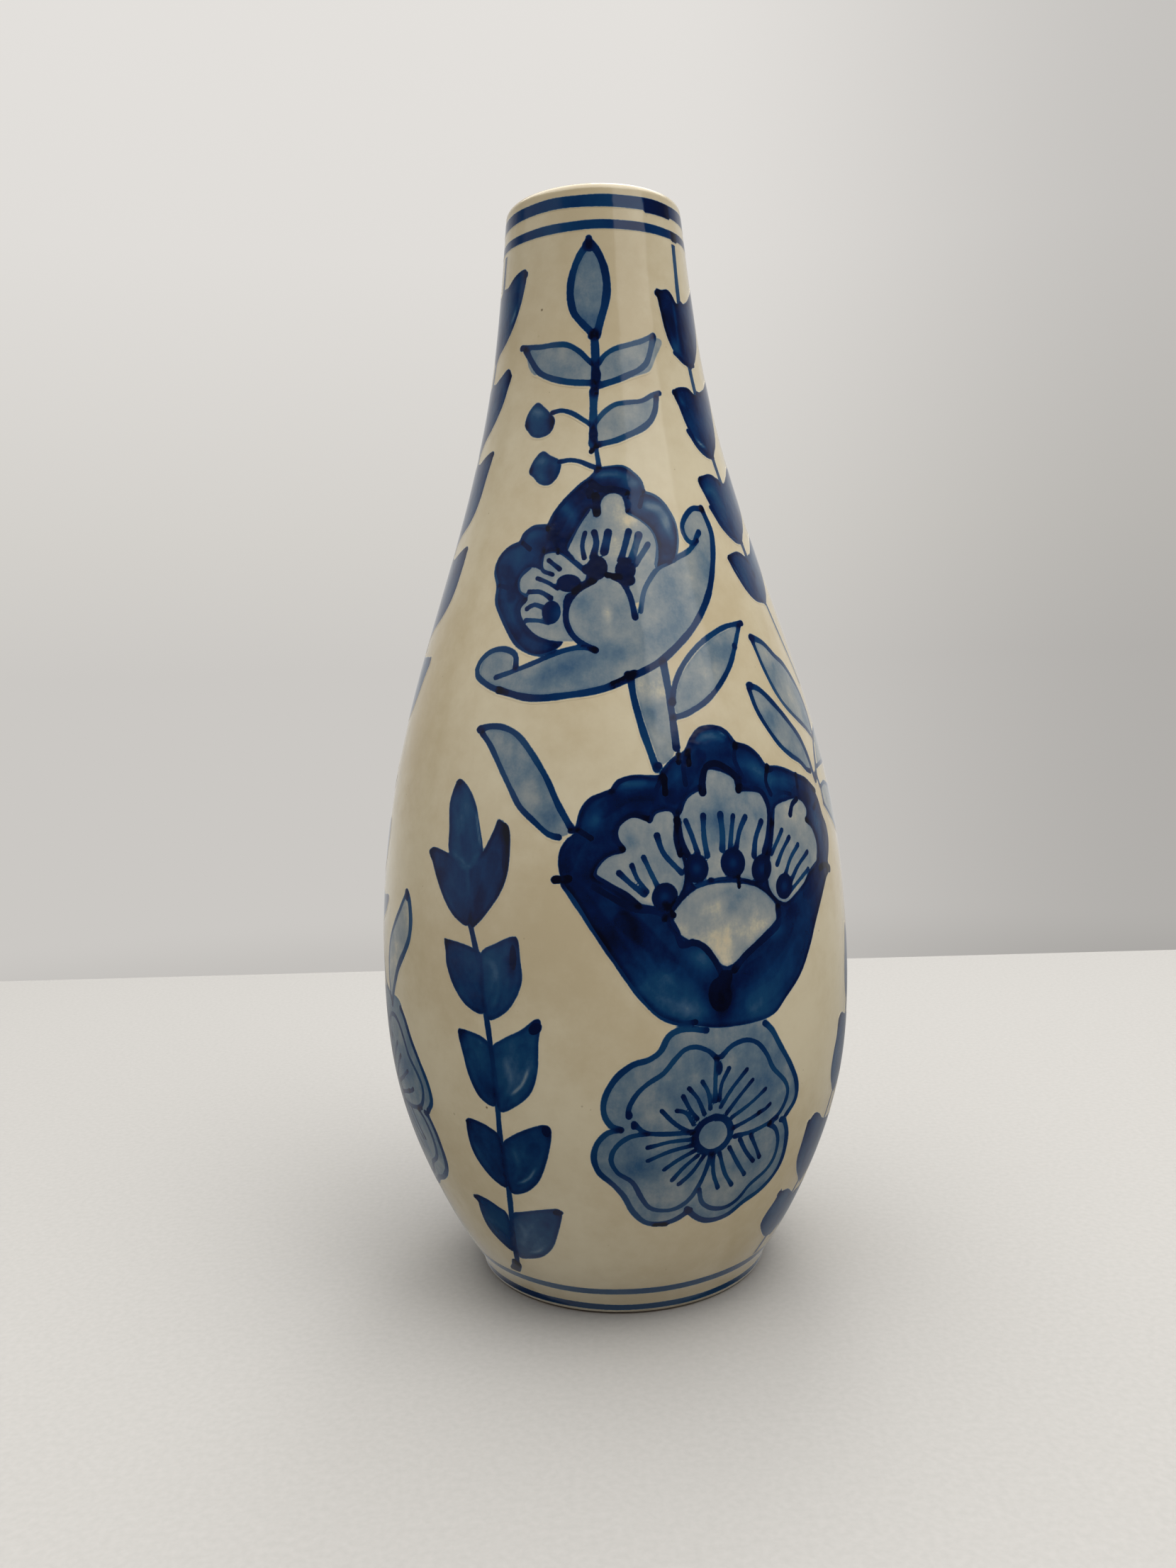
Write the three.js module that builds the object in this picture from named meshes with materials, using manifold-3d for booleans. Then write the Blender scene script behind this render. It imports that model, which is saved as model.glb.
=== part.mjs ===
// Talavera pottery vase: a wheel-thrown clay body with a turned foot ring, a tin glaze
// coat outside and inside, four painted bands and the painted cobalt flowers and leaves.
// Millimetres, +Z up, origin at the centre of the foot's underside.
// Angles go round the vase in degrees: 0 faces -Y (the front) and +90 faces +X.

import * as THREE from "three";
import { mergeVertices } from "three/addons/utils/BufferGeometryUtils.js";
import { TessellateModifier } from "three/addons/modifiers/TessellateModifier.js";
import Module from "manifold-3d";

const wasm = await Module();
wasm.setup();

// ---- Driving dimensions -------------------------------------------------------------

const HEIGHT = 250;
// Outer radius at a few heights. A smooth spline runs through them.
const OUTLINE = [
  [0, 34.8], [2.5, 35.5], [8, 38.6], [20, 44.9], [45, 53.6], [75, 56.1], [105, 53.9],
  [140, 45.95], [175, 34.5], [210, 25.3], [235, 21.7], [248, 20.3],
];
const LIP_RADIUS = 1.9;
const WALL_AT_LIP = 2 * LIP_RADIUS;
const WALL_AT_BELLY = 5;
const FULL_WALL_HEIGHT = 120;
const FLOOR_TOP = 7;
const FLOOR_FILLET_TOP = 13;
const FOOT_RECESS = 2.2;
const FOOT_RING_INNER = 30;
const FOOT_RING_OUTER = 34;
const GLAZE_START = 0.6;
const GLAZE = 0.4;
const COAT_GAP = 0.05;
const LIP_SPLIT = 4;
const ROUND_SEGMENTS = 28;

const PAINT_STANDOFF = 0.3;
const PAINT = 0.2;
const BAND_SPANS = {
  rim_band_upper: [244.4, 247],
  rim_band_lower: [239.4, 241.3],
  foot_band_upper: [6.2, 8],
  foot_band_lower: [1.2, 2.8],
};
const STEM_WIDTH = 2.4;
// Longest facet edge of a film, in degrees round or mm up: longer where the vase is thinner.
const NECK_EDGE = 17;
const SHOULDER_EDGE = 13;
const BELLY_EDGE = 11;
const SPLIT_PASSES = 8;
const CURVE_STEPS = 2;

// ---- Materials ----------------------------------------------------------------------

const clay = new THREE.MeshStandardMaterial({ color: "#b98f6c", roughness: 0.85, metalness: 0 });
const creamGlaze = new THREE.MeshStandardMaterial({ color: "#cfc5a6", roughness: 0.12, metalness: 0 });
const insideGlaze = new THREE.MeshStandardMaterial({ color: "#c4b998", roughness: 0.18, metalness: 0 });
const cobaltLine = new THREE.MeshStandardMaterial({ color: "#1c4677", roughness: 0.12, metalness: 0 });
const darkCobalt = new THREE.MeshStandardMaterial({ color: "#123660", roughness: 0.12, metalness: 0 });
const paleCobalt = new THREE.MeshStandardMaterial({ color: "#7d90ab", roughness: 0.12, metalness: 0 });

// ---- Wall profile -------------------------------------------------------------------

// Second derivatives of the natural cubic spline through the outline's points.
function splineCurvatures(points) {
  const last = points.length - 1;
  const upper = [0];
  const right = [0];
  for (let i = 1; i < last; i++) {
    const before = points[i][0] - points[i - 1][0];
    const after = points[i + 1][0] - points[i][0];
    const slopeBefore = (points[i][1] - points[i - 1][1]) / before;
    const slopeAfter = (points[i + 1][1] - points[i][1]) / after;
    const pivot = 2 * (before + after) - before * upper[i - 1];
    upper.push(after / pivot);
    right.push((6 * (slopeAfter - slopeBefore) - before * right[i - 1]) / pivot);
  }
  const curvatures = new Array(last + 1).fill(0);
  for (let i = last - 1; i > 0; i--) curvatures[i] = right[i] - upper[i] * curvatures[i + 1];
  return curvatures;
}

const CURVATURES = splineCurvatures(OUTLINE);

// Outer radius and its slope at one height.
function outerWall(z) {
  let i = 0;
  while (i < OUTLINE.length - 2 && z > OUTLINE[i + 1][0]) i++;
  const [z0, r0] = OUTLINE[i];
  const [z1, r1] = OUTLINE[i + 1];
  const span = z1 - z0;
  const a = (z1 - z) / span;
  const b = (z - z0) / span;
  const bendA = CURVATURES[i] * (a ** 3 - a);
  const bendB = CURVATURES[i + 1] * (b ** 3 - b);
  const slopeA = CURVATURES[i] * (3 * a * a - 1);
  const slopeB = CURVATURES[i + 1] * (3 * b * b - 1);
  return {
    radius: a * r0 + b * r1 + ((bendA + bendB) * span * span) / 6,
    slope: (r1 - r0) / span + ((slopeB - slopeA) * span) / 6,
  };
}

// Wall thickness: thin at the lip, full from the belly down.
function wallThickness(z) {
  const rise = Math.max(0, z - FULL_WALL_HEIGHT) / (HEIGHT - LIP_RADIUS - FULL_WALL_HEIGHT);
  return WALL_AT_BELLY + (WALL_AT_LIP - WALL_AT_BELLY) * rise;
}

// A surface point pushed along its outward normal.
function pushed(radius, z, normalR, normalZ, distance) {
  const length = Math.hypot(normalR, normalZ);
  return new THREE.Vector2(radius + (distance * normalR) / length, z + (distance * normalZ) / length);
}

const LIP_CENTRE_Z = HEIGHT - LIP_RADIUS;
const LIP_CENTRE_R = outerWall(LIP_CENTRE_Z).radius - LIP_RADIUS;

// Points of the rounded lip between two angles, measured from straight outwards.
function lipArc(fromDegrees, toDegrees, distance) {
  const steps = 2;
  const points = [];
  for (let i = 0; i <= steps; i++) {
    const angle = THREE.MathUtils.degToRad(fromDegrees + ((toDegrees - fromDegrees) * i) / steps);
    const reach = LIP_RADIUS + distance;
    points.push(new THREE.Vector2(
      LIP_CENTRE_R + reach * Math.cos(angle),
      LIP_CENTRE_Z + reach * Math.sin(angle),
    ));
  }
  return points;
}

// Outer surface from the foot to the top of the lip.
function outsideProfile(distance, lipEnd) {
  const heights = [
    GLAZE_START, 3, 9, 18, 30, 44, 58, 72, 86, 100, 114, 128, 143, 158, 172, 186, 200, 214, 230,
  ];
  const wall = heights.map((z) => {
    const { radius, slope } = outerWall(z);
    return pushed(radius, z, 1, -slope, distance);
  });
  return [...wall, ...lipArc(0, lipEnd, distance)];
}

// Inner surface from the top of the lip down to the middle of the floor.
function insideProfile(distance, lipStart) {
  const heights = [220, 190, 160, 130, 100, 75, 50, 28, FLOOR_FILLET_TOP];
  const wall = heights.map((z) => {
    const { radius, slope } = outerWall(z);
    return pushed(radius - wallThickness(z), z, -1, slope, distance);
  });
  const filletEdge = outerWall(FLOOR_FILLET_TOP).radius - WALL_AT_BELLY;
  const fillet = pushed(filletEdge - 6, FLOOR_TOP + 1.4, -1, 3, distance);
  const floorEdge = new THREE.Vector2(filletEdge - 15, FLOOR_TOP + distance);
  const floorCentre = new THREE.Vector2(0, FLOOR_TOP + distance);
  return [...lipArc(lipStart, 180, distance), ...wall, fillet, floorEdge, floorCentre];
}

// ---- Closed solids ------------------------------------------------------------------

function signedVolume(geometry) {
  const position = geometry.attributes.position;
  const index = geometry.index.array;
  const a = new THREE.Vector3();
  const b = new THREE.Vector3();
  const c = new THREE.Vector3();
  let volume = 0;
  for (let i = 0; i < index.length; i += 3) {
    a.fromBufferAttribute(position, index[i]);
    b.fromBufferAttribute(position, index[i + 1]);
    c.fromBufferAttribute(position, index[i + 2]);
    volume += a.dot(b.cross(c)) / 6;
  }
  return volume;
}

// Position-only geometry with shared vertices, no empty triangles, and faces pointing out.
function closed(source) {
  const bare = source.clone();
  bare.deleteAttribute("normal");
  bare.deleteAttribute("uv");
  const merged = mergeVertices(bare, 1e-4);
  const kept = [];
  const index = merged.index.array;
  for (let i = 0; i < index.length; i += 3) {
    const [a, b, c] = [index[i], index[i + 1], index[i + 2]];
    if (a !== b && b !== c && c !== a) kept.push(a, b, c);
  }
  merged.setIndex(kept);
  if (signedVolume(merged) < 0) {
    for (let i = 0; i < kept.length; i += 3) [kept[i], kept[i + 1]] = [kept[i + 1], kept[i]];
    merged.setIndex(kept);
  }
  return merged;
}

function revolved(profile) {
  const lathe = new THREE.LatheGeometry(profile, ROUND_SEGMENTS);
  lathe.rotateX(Math.PI / 2);
  return closed(lathe);
}

function loop(points) {
  return [...points, points[0].clone()];
}

function piece(name, geometry, material) {
  const mesh = new THREE.Mesh(geometry, material);
  mesh.name = name;
  return mesh;
}

// ---- Body and glaze coats -----------------------------------------------------------

function clayBody() {
  const depth = -(GLAZE + COAT_GAP);
  const foot = [
    new THREE.Vector2(0, FOOT_RECESS),
    new THREE.Vector2(FOOT_RING_INNER - 1.5, FOOT_RECESS),
    new THREE.Vector2(FOOT_RING_INNER, 0),
    new THREE.Vector2(FOOT_RING_OUTER, 0),
  ];
  const outside = outsideProfile(depth, 90);
  const inside = insideProfile(depth, 90).slice(1);
  return piece("clay_body", revolved([...foot, ...outside, ...inside]), clay);
}

function outerGlaze() {
  const outside = outsideProfile(0, 90 - LIP_SPLIT);
  const inside = outsideProfile(-GLAZE, 90 - LIP_SPLIT).reverse();
  return piece("outer_glaze", revolved(loop([...outside, ...inside])), creamGlaze);
}

function innerGlaze() {
  const inside = insideProfile(0, 90 + LIP_SPLIT);
  const backing = insideProfile(-GLAZE, 90 + LIP_SPLIT).reverse();
  return piece("inner_glaze", revolved([...backing, ...inside].reverse()), insideGlaze);
}

function bands() {
  return Object.entries(BAND_SPANS).map(([name, [low, high]]) => {
    const ring = [[low, PAINT_STANDOFF], [high, PAINT_STANDOFF], [high, PAINT_STANDOFF + PAINT],
      [low, PAINT_STANDOFF + PAINT]];
    const profile = ring.map(([z, away]) => new THREE.Vector2(outerWall(z).radius + away, z));
    return piece(name, revolved(loop(profile)), cobaltLine);
  });
}

// ---- Paint stencils, drawn unrolled: x is the angle in degrees, y the height in mm ---

// A leaf from its base to its tip, with one control point for each edge.
function leaf(base, tip, firstBend, secondBend) {
  const shape = new THREE.Shape();
  shape.moveTo(...base);
  shape.quadraticCurveTo(...firstBend, ...tip);
  shape.quadraticCurveTo(...secondBend, ...base);
  return shape;
}

// A drop-shaped leaf that curves out from a stem and up to its tip.
function cuppedLeaf(base, tip) {
  const outerBend = [tip[0], base[1] - 1];
  const innerBend = [base[0] + 0.15 * (tip[0] - base[0]), tip[1] + 2];
  return leaf(base, tip, outerBend, innerBend);
}

function petalOutline(points) {
  const [first, ...rest] = points.map(([x, y]) => new THREE.Vector2(x, y));
  const shape = new THREE.Shape();
  shape.moveTo(first.x, first.y);
  shape.splineThru([...rest, first]);
  return shape;
}

// A flower head with rounded lobes, from its centre and mean radii.
function lobedOutline([x, y], radiusX, radiusY, lobes, depth, turn) {
  const stepsPerLobe = 4;
  const shape = new THREE.Shape();
  for (let i = 0; i < lobes * stepsPerLobe; i++) {
    const angle = (i / (lobes * stepsPerLobe)) * 2 * Math.PI;
    const reach = 1 - depth + depth * Math.abs(Math.cos((lobes * angle) / 2));
    const px = x + radiusX * reach * Math.cos(angle + turn);
    const py = y + radiusY * reach * Math.sin(angle + turn);
    if (i === 0) shape.moveTo(px, py);
    else shape.lineTo(px, py);
  }
  return shape;
}

function berry([x, y], radiusX, radiusY) {
  const shape = new THREE.Shape();
  shape.absellipse(x, y, radiusX, radiusY, 0, 2 * Math.PI);
  return shape;
}

// A brush line of one width in millimetres along a smooth run of points.
function stem(points, width = STEM_WIDTH) {
  const line = new THREE.SplineCurve(points.map(([x, y]) => new THREE.Vector2(x, y)));
  const steps = 2 * (points.length - 1);
  const left = [];
  const right = [];
  for (let i = 0; i <= steps; i++) {
    const at = line.getPoint(i / steps);
    const degree = THREE.MathUtils.degToRad(outerWall(at.y).radius);
    const along = line.getTangent(i / steps);
    const across = new THREE.Vector2(-along.y, along.x * degree).normalize().multiplyScalar(width / 2);
    left.push(new THREE.Vector2(at.x + across.x / degree, at.y + across.y));
    right.unshift(new THREE.Vector2(at.x - across.x / degree, at.y - across.y));
  }
  return new THREE.Shape([...left, ...right]);
}

// ---- From stencils to one closed film on the vase ------------------------------------

function slab(shape) {
  const options = { depth: PAINT, bevelEnabled: false, curveSegments: CURVE_STEPS };
  const geometry = closed(new THREE.ExtrudeGeometry(shape, options));
  const vertProperties = new Float32Array(geometry.attributes.position.array);
  const triVerts = new Uint32Array(geometry.index.array);
  return new wasm.Manifold(new wasm.Mesh({ numProp: 3, vertProperties, triVerts }));
}

function united(shapes) {
  const solid = shapes.map(slab).reduce((sum, next) => sum.add(next));
  const mesh = solid.getMesh();
  const geometry = new THREE.BufferGeometry();
  geometry.setAttribute("position", new THREE.BufferAttribute(new Float32Array(mesh.vertProperties), 3));
  geometry.setIndex(new THREE.BufferAttribute(new Uint32Array(mesh.triVerts), 1));
  return geometry;
}

// Wraps an unrolled film round the vase, turned by an angle.
function wrapped(flat, turn) {
  const position = flat.attributes.position;
  for (let i = 0; i < position.count; i++) {
    const angle = THREE.MathUtils.degToRad(position.getX(i) + turn);
    const z = position.getY(i);
    const reach = outerWall(z).radius + PAINT_STANDOFF + position.getZ(i);
    position.setXYZ(i, reach * Math.sin(angle), -reach * Math.cos(angle), z);
  }
  return flat;
}

function film(name, shapes, material, maxEdge, turn) {
  const flat = united(shapes).toNonIndexed();
  const fine = new TessellateModifier(maxEdge, SPLIT_PASSES).modify(flat);
  return piece(name, wrapped(closed(fine), turn), material);
}

// ---- The painted motifs --------------------------------------------------------------

function topSprig() {
  return [
    leaf([-2.5, 216], [-2.5, 238], [-25, 227], [20, 227]),
    stem([[-2.5, 218], [-2, 208], [-1.5, 198], [0, 188.8]], 1.8),
    leaf([-2, 206], [-43, 216], [-28, 204], [-12, 217]),
    leaf([-2, 206], [33, 216], [20, 204], [8, 215]),
    leaf([-1.5, 191], [31, 204], [18, 191], [6, 203.5]),
    berry([-27, 199], 8, 4),
    stem([[-22, 199.5], [-12, 199], [-2, 196]], 1.2),
    berry([-23, 188.5], 7, 3.6),
    stem([[-18, 189.5], [-9, 190.5], [-1, 190.5]], 1.2),
  ];
}

function upperFlower() {
  const petals = [
    [-22, 149], [-32, 153], [-37, 160], [-38.5, 167], [-34, 172.5], [-22, 175.5], [-13, 182],
    [2, 187], [13, 185.5], [23, 181], [27.5, 172], [22, 160], [0, 150],
  ];
  const crescent = [
    [-38, 146], [-33, 149.5], [-22, 148], [0, 149.5], [15, 155], [27, 165.5], [36, 169], [31, 172.5],
    [33, 178], [41, 179], [44, 173], [38, 161], [26, 151], [8, 144.6], [-12, 140.5], [-34, 141.5],
  ];
  return [petalOutline(petals), petalOutline(crescent)];
}

function leafyStem() {
  return [
    petalOutline([[7.5, 142], [15.5, 143.6], [17, 133], [16, 128.5], [12, 126], [9, 133]]),
    leaf([16, 133], [46, 153], [38, 137], [24, 151]),
  ];
}

function sideLeaf() {
  return [leaf([-12.5, 112.5], [-35, 133], [-26, 110], [-19, 133])];
}

function largeFlower() {
  return [petalOutline([
    [-10.5, 103.5], [-10, 110], [-6, 117], [4, 121.5], [11, 122.3], [20, 129.5], [30, 131.5],
    [38, 127], [46, 122.8], [57, 120], [64, 111], [62, 100], [52, 90], [42, 78], [33, 72.3],
    [16, 72.3], [6, 82], [-3, 95],
  ])];
}

function blossom() {
  return [lobedOutline([21, 48], 25.5, 23, 5, 0.16, 0.95)];
}

function risingSprig() {
  return [
    stem([[-39, 9], [-31, 22], [-27.5, 42], [-28, 62], [-29.5, 80], [-32, 95]]),
    leaf([-32, 93], [-40, 122], [-47, 107], [-31, 112]),
    leaf([-32, 92.5], [-47, 106.5], [-46, 94], [-36, 108]),
    leaf([-32, 92.5], [-24.5, 112], [-22, 95], [-32, 110]),
    cuppedLeaf([-29, 73.5], [-40, 88]),
    cuppedLeaf([-29, 73.5], [-21.5, 90]),
    cuppedLeaf([-28, 53.5], [-37, 68.5]),
    cuppedLeaf([-28, 53.5], [-17, 73]),
    cuppedLeaf([-28.5, 33], [-37, 49]),
    cuppedLeaf([-28.5, 33], [-16, 50.5]),
    cuppedLeaf([-35, 14], [-41.5, 29]),
    cuppedLeaf([-35, 14], [-16, 30]),
  ];
}

function hangingVine(stemPoints, pairs) {
  const leaves = pairs.flatMap(([x, z, reach, rise]) => [
    cuppedLeaf([x + 0.5, z], [x - reach, z + rise]),
    cuppedLeaf([x - 0.5, z], [x + reach, z + rise]),
  ]);
  return [stem(stemPoints), ...leaves];
}

function rightVine() {
  const line = [[58, 239], [56.5, 225], [58, 200], [61, 175], [66, 156], [72, 144]];
  const pairs = [[57, 212, 20.5, 15], [58, 192, 18, 13], [60.5, 173, 15.5, 13], [63, 158.5, 12.5, 9.5]];
  return hangingVine(line, pairs);
}

function leftVine() {
  const line = [[-67, 239], [-68.5, 220], [-72, 197], [-76, 172], [-80, 150], [-82, 134]];
  const pairs = [
    [-69, 215, 24, 17], [-72.5, 195, 20, 16], [-76, 176, 17, 16], [-79, 155, 15, 16], [-82, 135, 11, 11],
  ];
  return hangingVine(line, pairs);
}

function lightSprig() {
  return [
    stem([[68.5, 116], [72, 122], [77, 129]], 1.6),
    leaf([69, 117], [42.5, 139.5], [45, 124], [58, 138]),
    leaf([76, 128], [49.5, 150], [54, 131], [64, 149]),
    leaf([69, 117], [88, 122], [78, 111], [78, 125]),
  ];
}

function risingVine() {
  return [
    stem([[53, 9], [58, 16], [65, 31], [73, 47], [79, 62]], 2),
    cuppedLeaf([57, 13.5], [46.5, 26.5]),
    cuppedLeaf([57, 13.5], [69, 24]),
    cuppedLeaf([64, 28], [53.5, 43]),
    cuppedLeaf([64, 28], [76, 40]),
    cuppedLeaf([73, 46.5], [63.5, 63]),
    cuppedLeaf([73, 46.5], [84, 58]),
  ];
}

function sideBlossom() {
  return [lobedOutline([-73, 48], 24.5, 22.5, 5, 0.16, 0.95)];
}

function sideSprig() {
  return [
    leaf([-69, 72.5], [-55, 97], [-55, 81], [-68, 92]),
    stem([[-69.5, 73], [-74, 84], [-77, 96]], 1.6),
    leaf([-76.5, 93], [-68, 104], [-70, 94], [-76, 104]),
  ];
}

// Everything that is painted on one half of the vase. The other half repeats it.
function paintedHalf(prefix, turn) {
  const motifs = [
    ["top_sprig", topSprig(), paleCobalt, NECK_EDGE],
    ["upper_flower", upperFlower(), darkCobalt, SHOULDER_EDGE],
    ["leafy_stem", leafyStem(), paleCobalt, BELLY_EDGE],
    ["side_leaf", sideLeaf(), paleCobalt, BELLY_EDGE],
    ["large_flower", largeFlower(), darkCobalt, BELLY_EDGE],
    ["blossom", blossom(), paleCobalt, BELLY_EDGE],
    ["rising_sprig", risingSprig(), darkCobalt, BELLY_EDGE],
    ["right_vine", rightVine(), darkCobalt, SHOULDER_EDGE],
    ["left_vine", leftVine(), darkCobalt, SHOULDER_EDGE],
    ["light_sprig", lightSprig(), paleCobalt, BELLY_EDGE],
    ["rising_vine", risingVine(), darkCobalt, BELLY_EDGE],
    ["side_blossom", sideBlossom(), paleCobalt, BELLY_EDGE],
    ["side_sprig", sideSprig(), paleCobalt, BELLY_EDGE],
  ];
  return motifs.map(([name, shapes, material, maxEdge]) => {
    return film(`${prefix}_${name}`, shapes, material, maxEdge, turn);
  });
}

// ---- The vase ------------------------------------------------------------------------

const vase = new THREE.Group();
vase.add(clayBody(), outerGlaze(), innerGlaze(), ...bands());
vase.add(...paintedHalf("front", 0), ...paintedHalf("back", 180));

export default vase;
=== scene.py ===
"""Talavera pottery vase: glazed clay body with hand-brushed cobalt flowers, leaves and bands.

The paint is laid out unrolled, in degrees round the vase (0 faces the front, -Y, and +90
faces +X) and millimetres up, then cut into thin films that follow the wall.
"""
import math

import bpy
import numpy as np
from mathutils import Matrix, Vector


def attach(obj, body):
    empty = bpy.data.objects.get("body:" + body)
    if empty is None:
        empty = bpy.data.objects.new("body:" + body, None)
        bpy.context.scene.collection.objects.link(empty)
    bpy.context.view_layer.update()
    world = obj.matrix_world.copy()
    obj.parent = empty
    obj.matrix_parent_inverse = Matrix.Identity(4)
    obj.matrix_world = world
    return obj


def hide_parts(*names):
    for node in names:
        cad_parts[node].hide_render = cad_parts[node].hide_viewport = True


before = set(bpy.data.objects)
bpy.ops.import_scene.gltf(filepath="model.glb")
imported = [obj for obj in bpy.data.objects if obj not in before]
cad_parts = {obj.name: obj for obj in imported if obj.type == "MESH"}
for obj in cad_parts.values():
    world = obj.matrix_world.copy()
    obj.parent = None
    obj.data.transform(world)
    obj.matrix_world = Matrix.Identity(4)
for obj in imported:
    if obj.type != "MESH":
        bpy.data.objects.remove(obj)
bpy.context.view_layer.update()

MM = 0.001

# ---- Driving dimensions, in millimetres -------------------------------------------------

HEIGHT = 250.0
OUTLINE = np.array([
    [0, 34.8], [2.5, 35.5], [8, 38.6], [20, 44.9], [45, 53.6], [75, 56.1], [105, 53.9],
    [140, 45.95], [175, 34.5], [210, 25.3], [235, 21.7], [248, 20.3],
])
LIP_RADIUS = 1.9
WALL_AT_BELLY = 5.0
FULL_WALL_HEIGHT = 120.0
FLOOR_TOP = 7.0
FLOOR_FILLET_TOP = 13.0
FLOOR_FILLET_REACH = 9.0
FLOOR_RING_STEPS = (6, 14)
FOOT_RECESS = 2.2
FOOT_RING_INNER = 30.0
FOOT_RING_OUTER = 34.0
GLAZE_START = 0.6
GLAZE = 0.4
COAT_GAP = 0.05
ROUND_STEPS = 288
LIP_STEPS = 14

PAINT_LIFT = 0.03
PAINT_DEPTH = -0.25
PAINT_MARGIN = 0.4
BAND_MARGIN = 0.16
BAND_STEPS = 720
BAND_ROWS = 9
SHARP_EDGE = 40
# How far apart, in millimetres or degrees, a stroke and the patch are sampled.
RUN_STEP = 0.9
CELL = 0.42
CELL_DEGREES = 0.43
PANEL_ANGLES = (-100.0, 102.0)
PANEL_HEIGHTS = (8.25, 239.25)
FAR = -9.0
# How many millimetres of an edge are blended where one stroke covers another.
FILL_BLEND = 0.5
LINE_BLEND = 0.36
BLOB_BLEND = 0.3

RIM_UPPER = (244.4, 247.0)
RIM_LOWER = (239.5, 241.4)
FOOT_UPPER = (6.2, 8.0)
FOOT_LOWER = (1.2, 2.8)


# ---- The wall ---------------------------------------------------------------------------

def spline_curvatures(points):
    """Second derivatives of the natural cubic spline through the outline's points."""
    z, r = points[:, 0], points[:, 1]
    h = np.diff(z)
    count = len(z)
    system = np.eye(count)
    right = np.zeros(count)
    for i in range(1, count - 1):
        system[i, i - 1:i + 2] = h[i - 1], 2 * (h[i - 1] + h[i]), h[i]
        right[i] = 6 * ((r[i + 1] - r[i]) / h[i] - (r[i] - r[i - 1]) / h[i - 1])
    return np.linalg.solve(system, right)


CURVATURES = spline_curvatures(OUTLINE)


def outer_wall(z):
    """Outer radius and its slope at each height."""
    z = np.asarray(z, float)
    i = np.clip(np.searchsorted(OUTLINE[:, 0], z, side="right") - 1, 0, len(OUTLINE) - 2)
    span = OUTLINE[i + 1, 0] - OUTLINE[i, 0]
    a = (OUTLINE[i + 1, 0] - z) / span
    b = 1 - a
    low, high = CURVATURES[i], CURVATURES[i + 1]
    radius = a * OUTLINE[i, 1] + b * OUTLINE[i + 1, 1]
    radius = radius + (low * (a ** 3 - a) + high * (b ** 3 - b)) * span ** 2 / 6
    slope = (OUTLINE[i + 1, 1] - OUTLINE[i, 1]) / span
    slope = slope + (high * (3 * b * b - 1) - low * (3 * a * a - 1)) * span / 6
    return radius, slope


def wall_thickness(z):
    rise = np.clip((z - FULL_WALL_HEIGHT) / (HEIGHT - LIP_RADIUS - FULL_WALL_HEIGHT), 0, 1)
    return WALL_AT_BELLY + (2 * LIP_RADIUS - WALL_AT_BELLY) * rise


def on_wall(degrees, z, lift):
    """Points on the outer wall, in metres, pushed out along its normal."""
    radius, slope = outer_wall(z)
    length = np.sqrt(1 + slope ** 2)
    reach = radius + lift / length
    height = z - lift * slope / length
    angle = np.radians(degrees)
    points = np.stack([reach * np.sin(angle), -reach * np.cos(angle), height], -1)
    return points * MM


# ---- Meshes -----------------------------------------------------------------------------

def new_object(name, points, faces, material):
    mesh = bpy.data.meshes.new(name)
    mesh.from_pydata([tuple(p) for p in points], [], faces)
    mesh.materials.append(material)
    mesh.update()
    obj = bpy.data.objects.new(name, mesh)
    bpy.context.collection.objects.link(obj)
    return obj


def revolve(name, profile, material, closed_loop):
    """Turns a profile of (radius, height) points round the axis. An open profile starts and
    ends on the axis; a closed one joins its ends."""
    points = []
    rings = []
    for radius, height in profile:
        if radius < 1e-6:
            rings.append([len(points)] * ROUND_STEPS)
            points.append((0.0, 0.0, height * MM))
            continue
        rings.append(list(range(len(points), len(points) + ROUND_STEPS)))
        for k in range(ROUND_STEPS):
            angle = 2 * math.pi * k / ROUND_STEPS
            points.append((radius * math.sin(angle) * MM, -radius * math.cos(angle) * MM, height * MM))
    pairs = list(zip(rings, rings[1:]))
    if closed_loop:
        pairs.append((rings[-1], rings[0]))
    faces = []
    for low, high in pairs:
        for k in range(ROUND_STEPS):
            n = (k + 1) % ROUND_STEPS
            corners = [low[k], low[n], high[n], high[k]]
            face = [c for c, after in zip(corners, corners[1:] + corners[:1]) if c != after]
            faces.append(face)
    obj = new_object(name, points, faces, material)
    obj.data.shade_smooth()
    return obj


def pushed(radius, z, normal_r, normal_z, distance):
    length = np.hypot(normal_r, normal_z)
    return list(zip(radius + distance * normal_r / length, z + distance * normal_z / length))


LIP_CENTRE_Z = HEIGHT - LIP_RADIUS
LIP_CENTRE_R = float(outer_wall(LIP_CENTRE_Z)[0]) - LIP_RADIUS


def lip_arc(start, end, distance):
    angles = np.radians(np.linspace(start, end, LIP_STEPS))
    reach = LIP_RADIUS + distance
    return list(zip(LIP_CENTRE_R + reach * np.cos(angles), LIP_CENTRE_Z + reach * np.sin(angles)))


def outside_profile(distance, lip_end):
    z = np.concatenate([np.linspace(GLAZE_START, 20, 20), np.linspace(22, LIP_CENTRE_Z - 1, 130)])
    radius, slope = outer_wall(z)
    return pushed(radius, z, np.ones_like(z), -slope, distance) + lip_arc(0, lip_end, distance)


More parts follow.
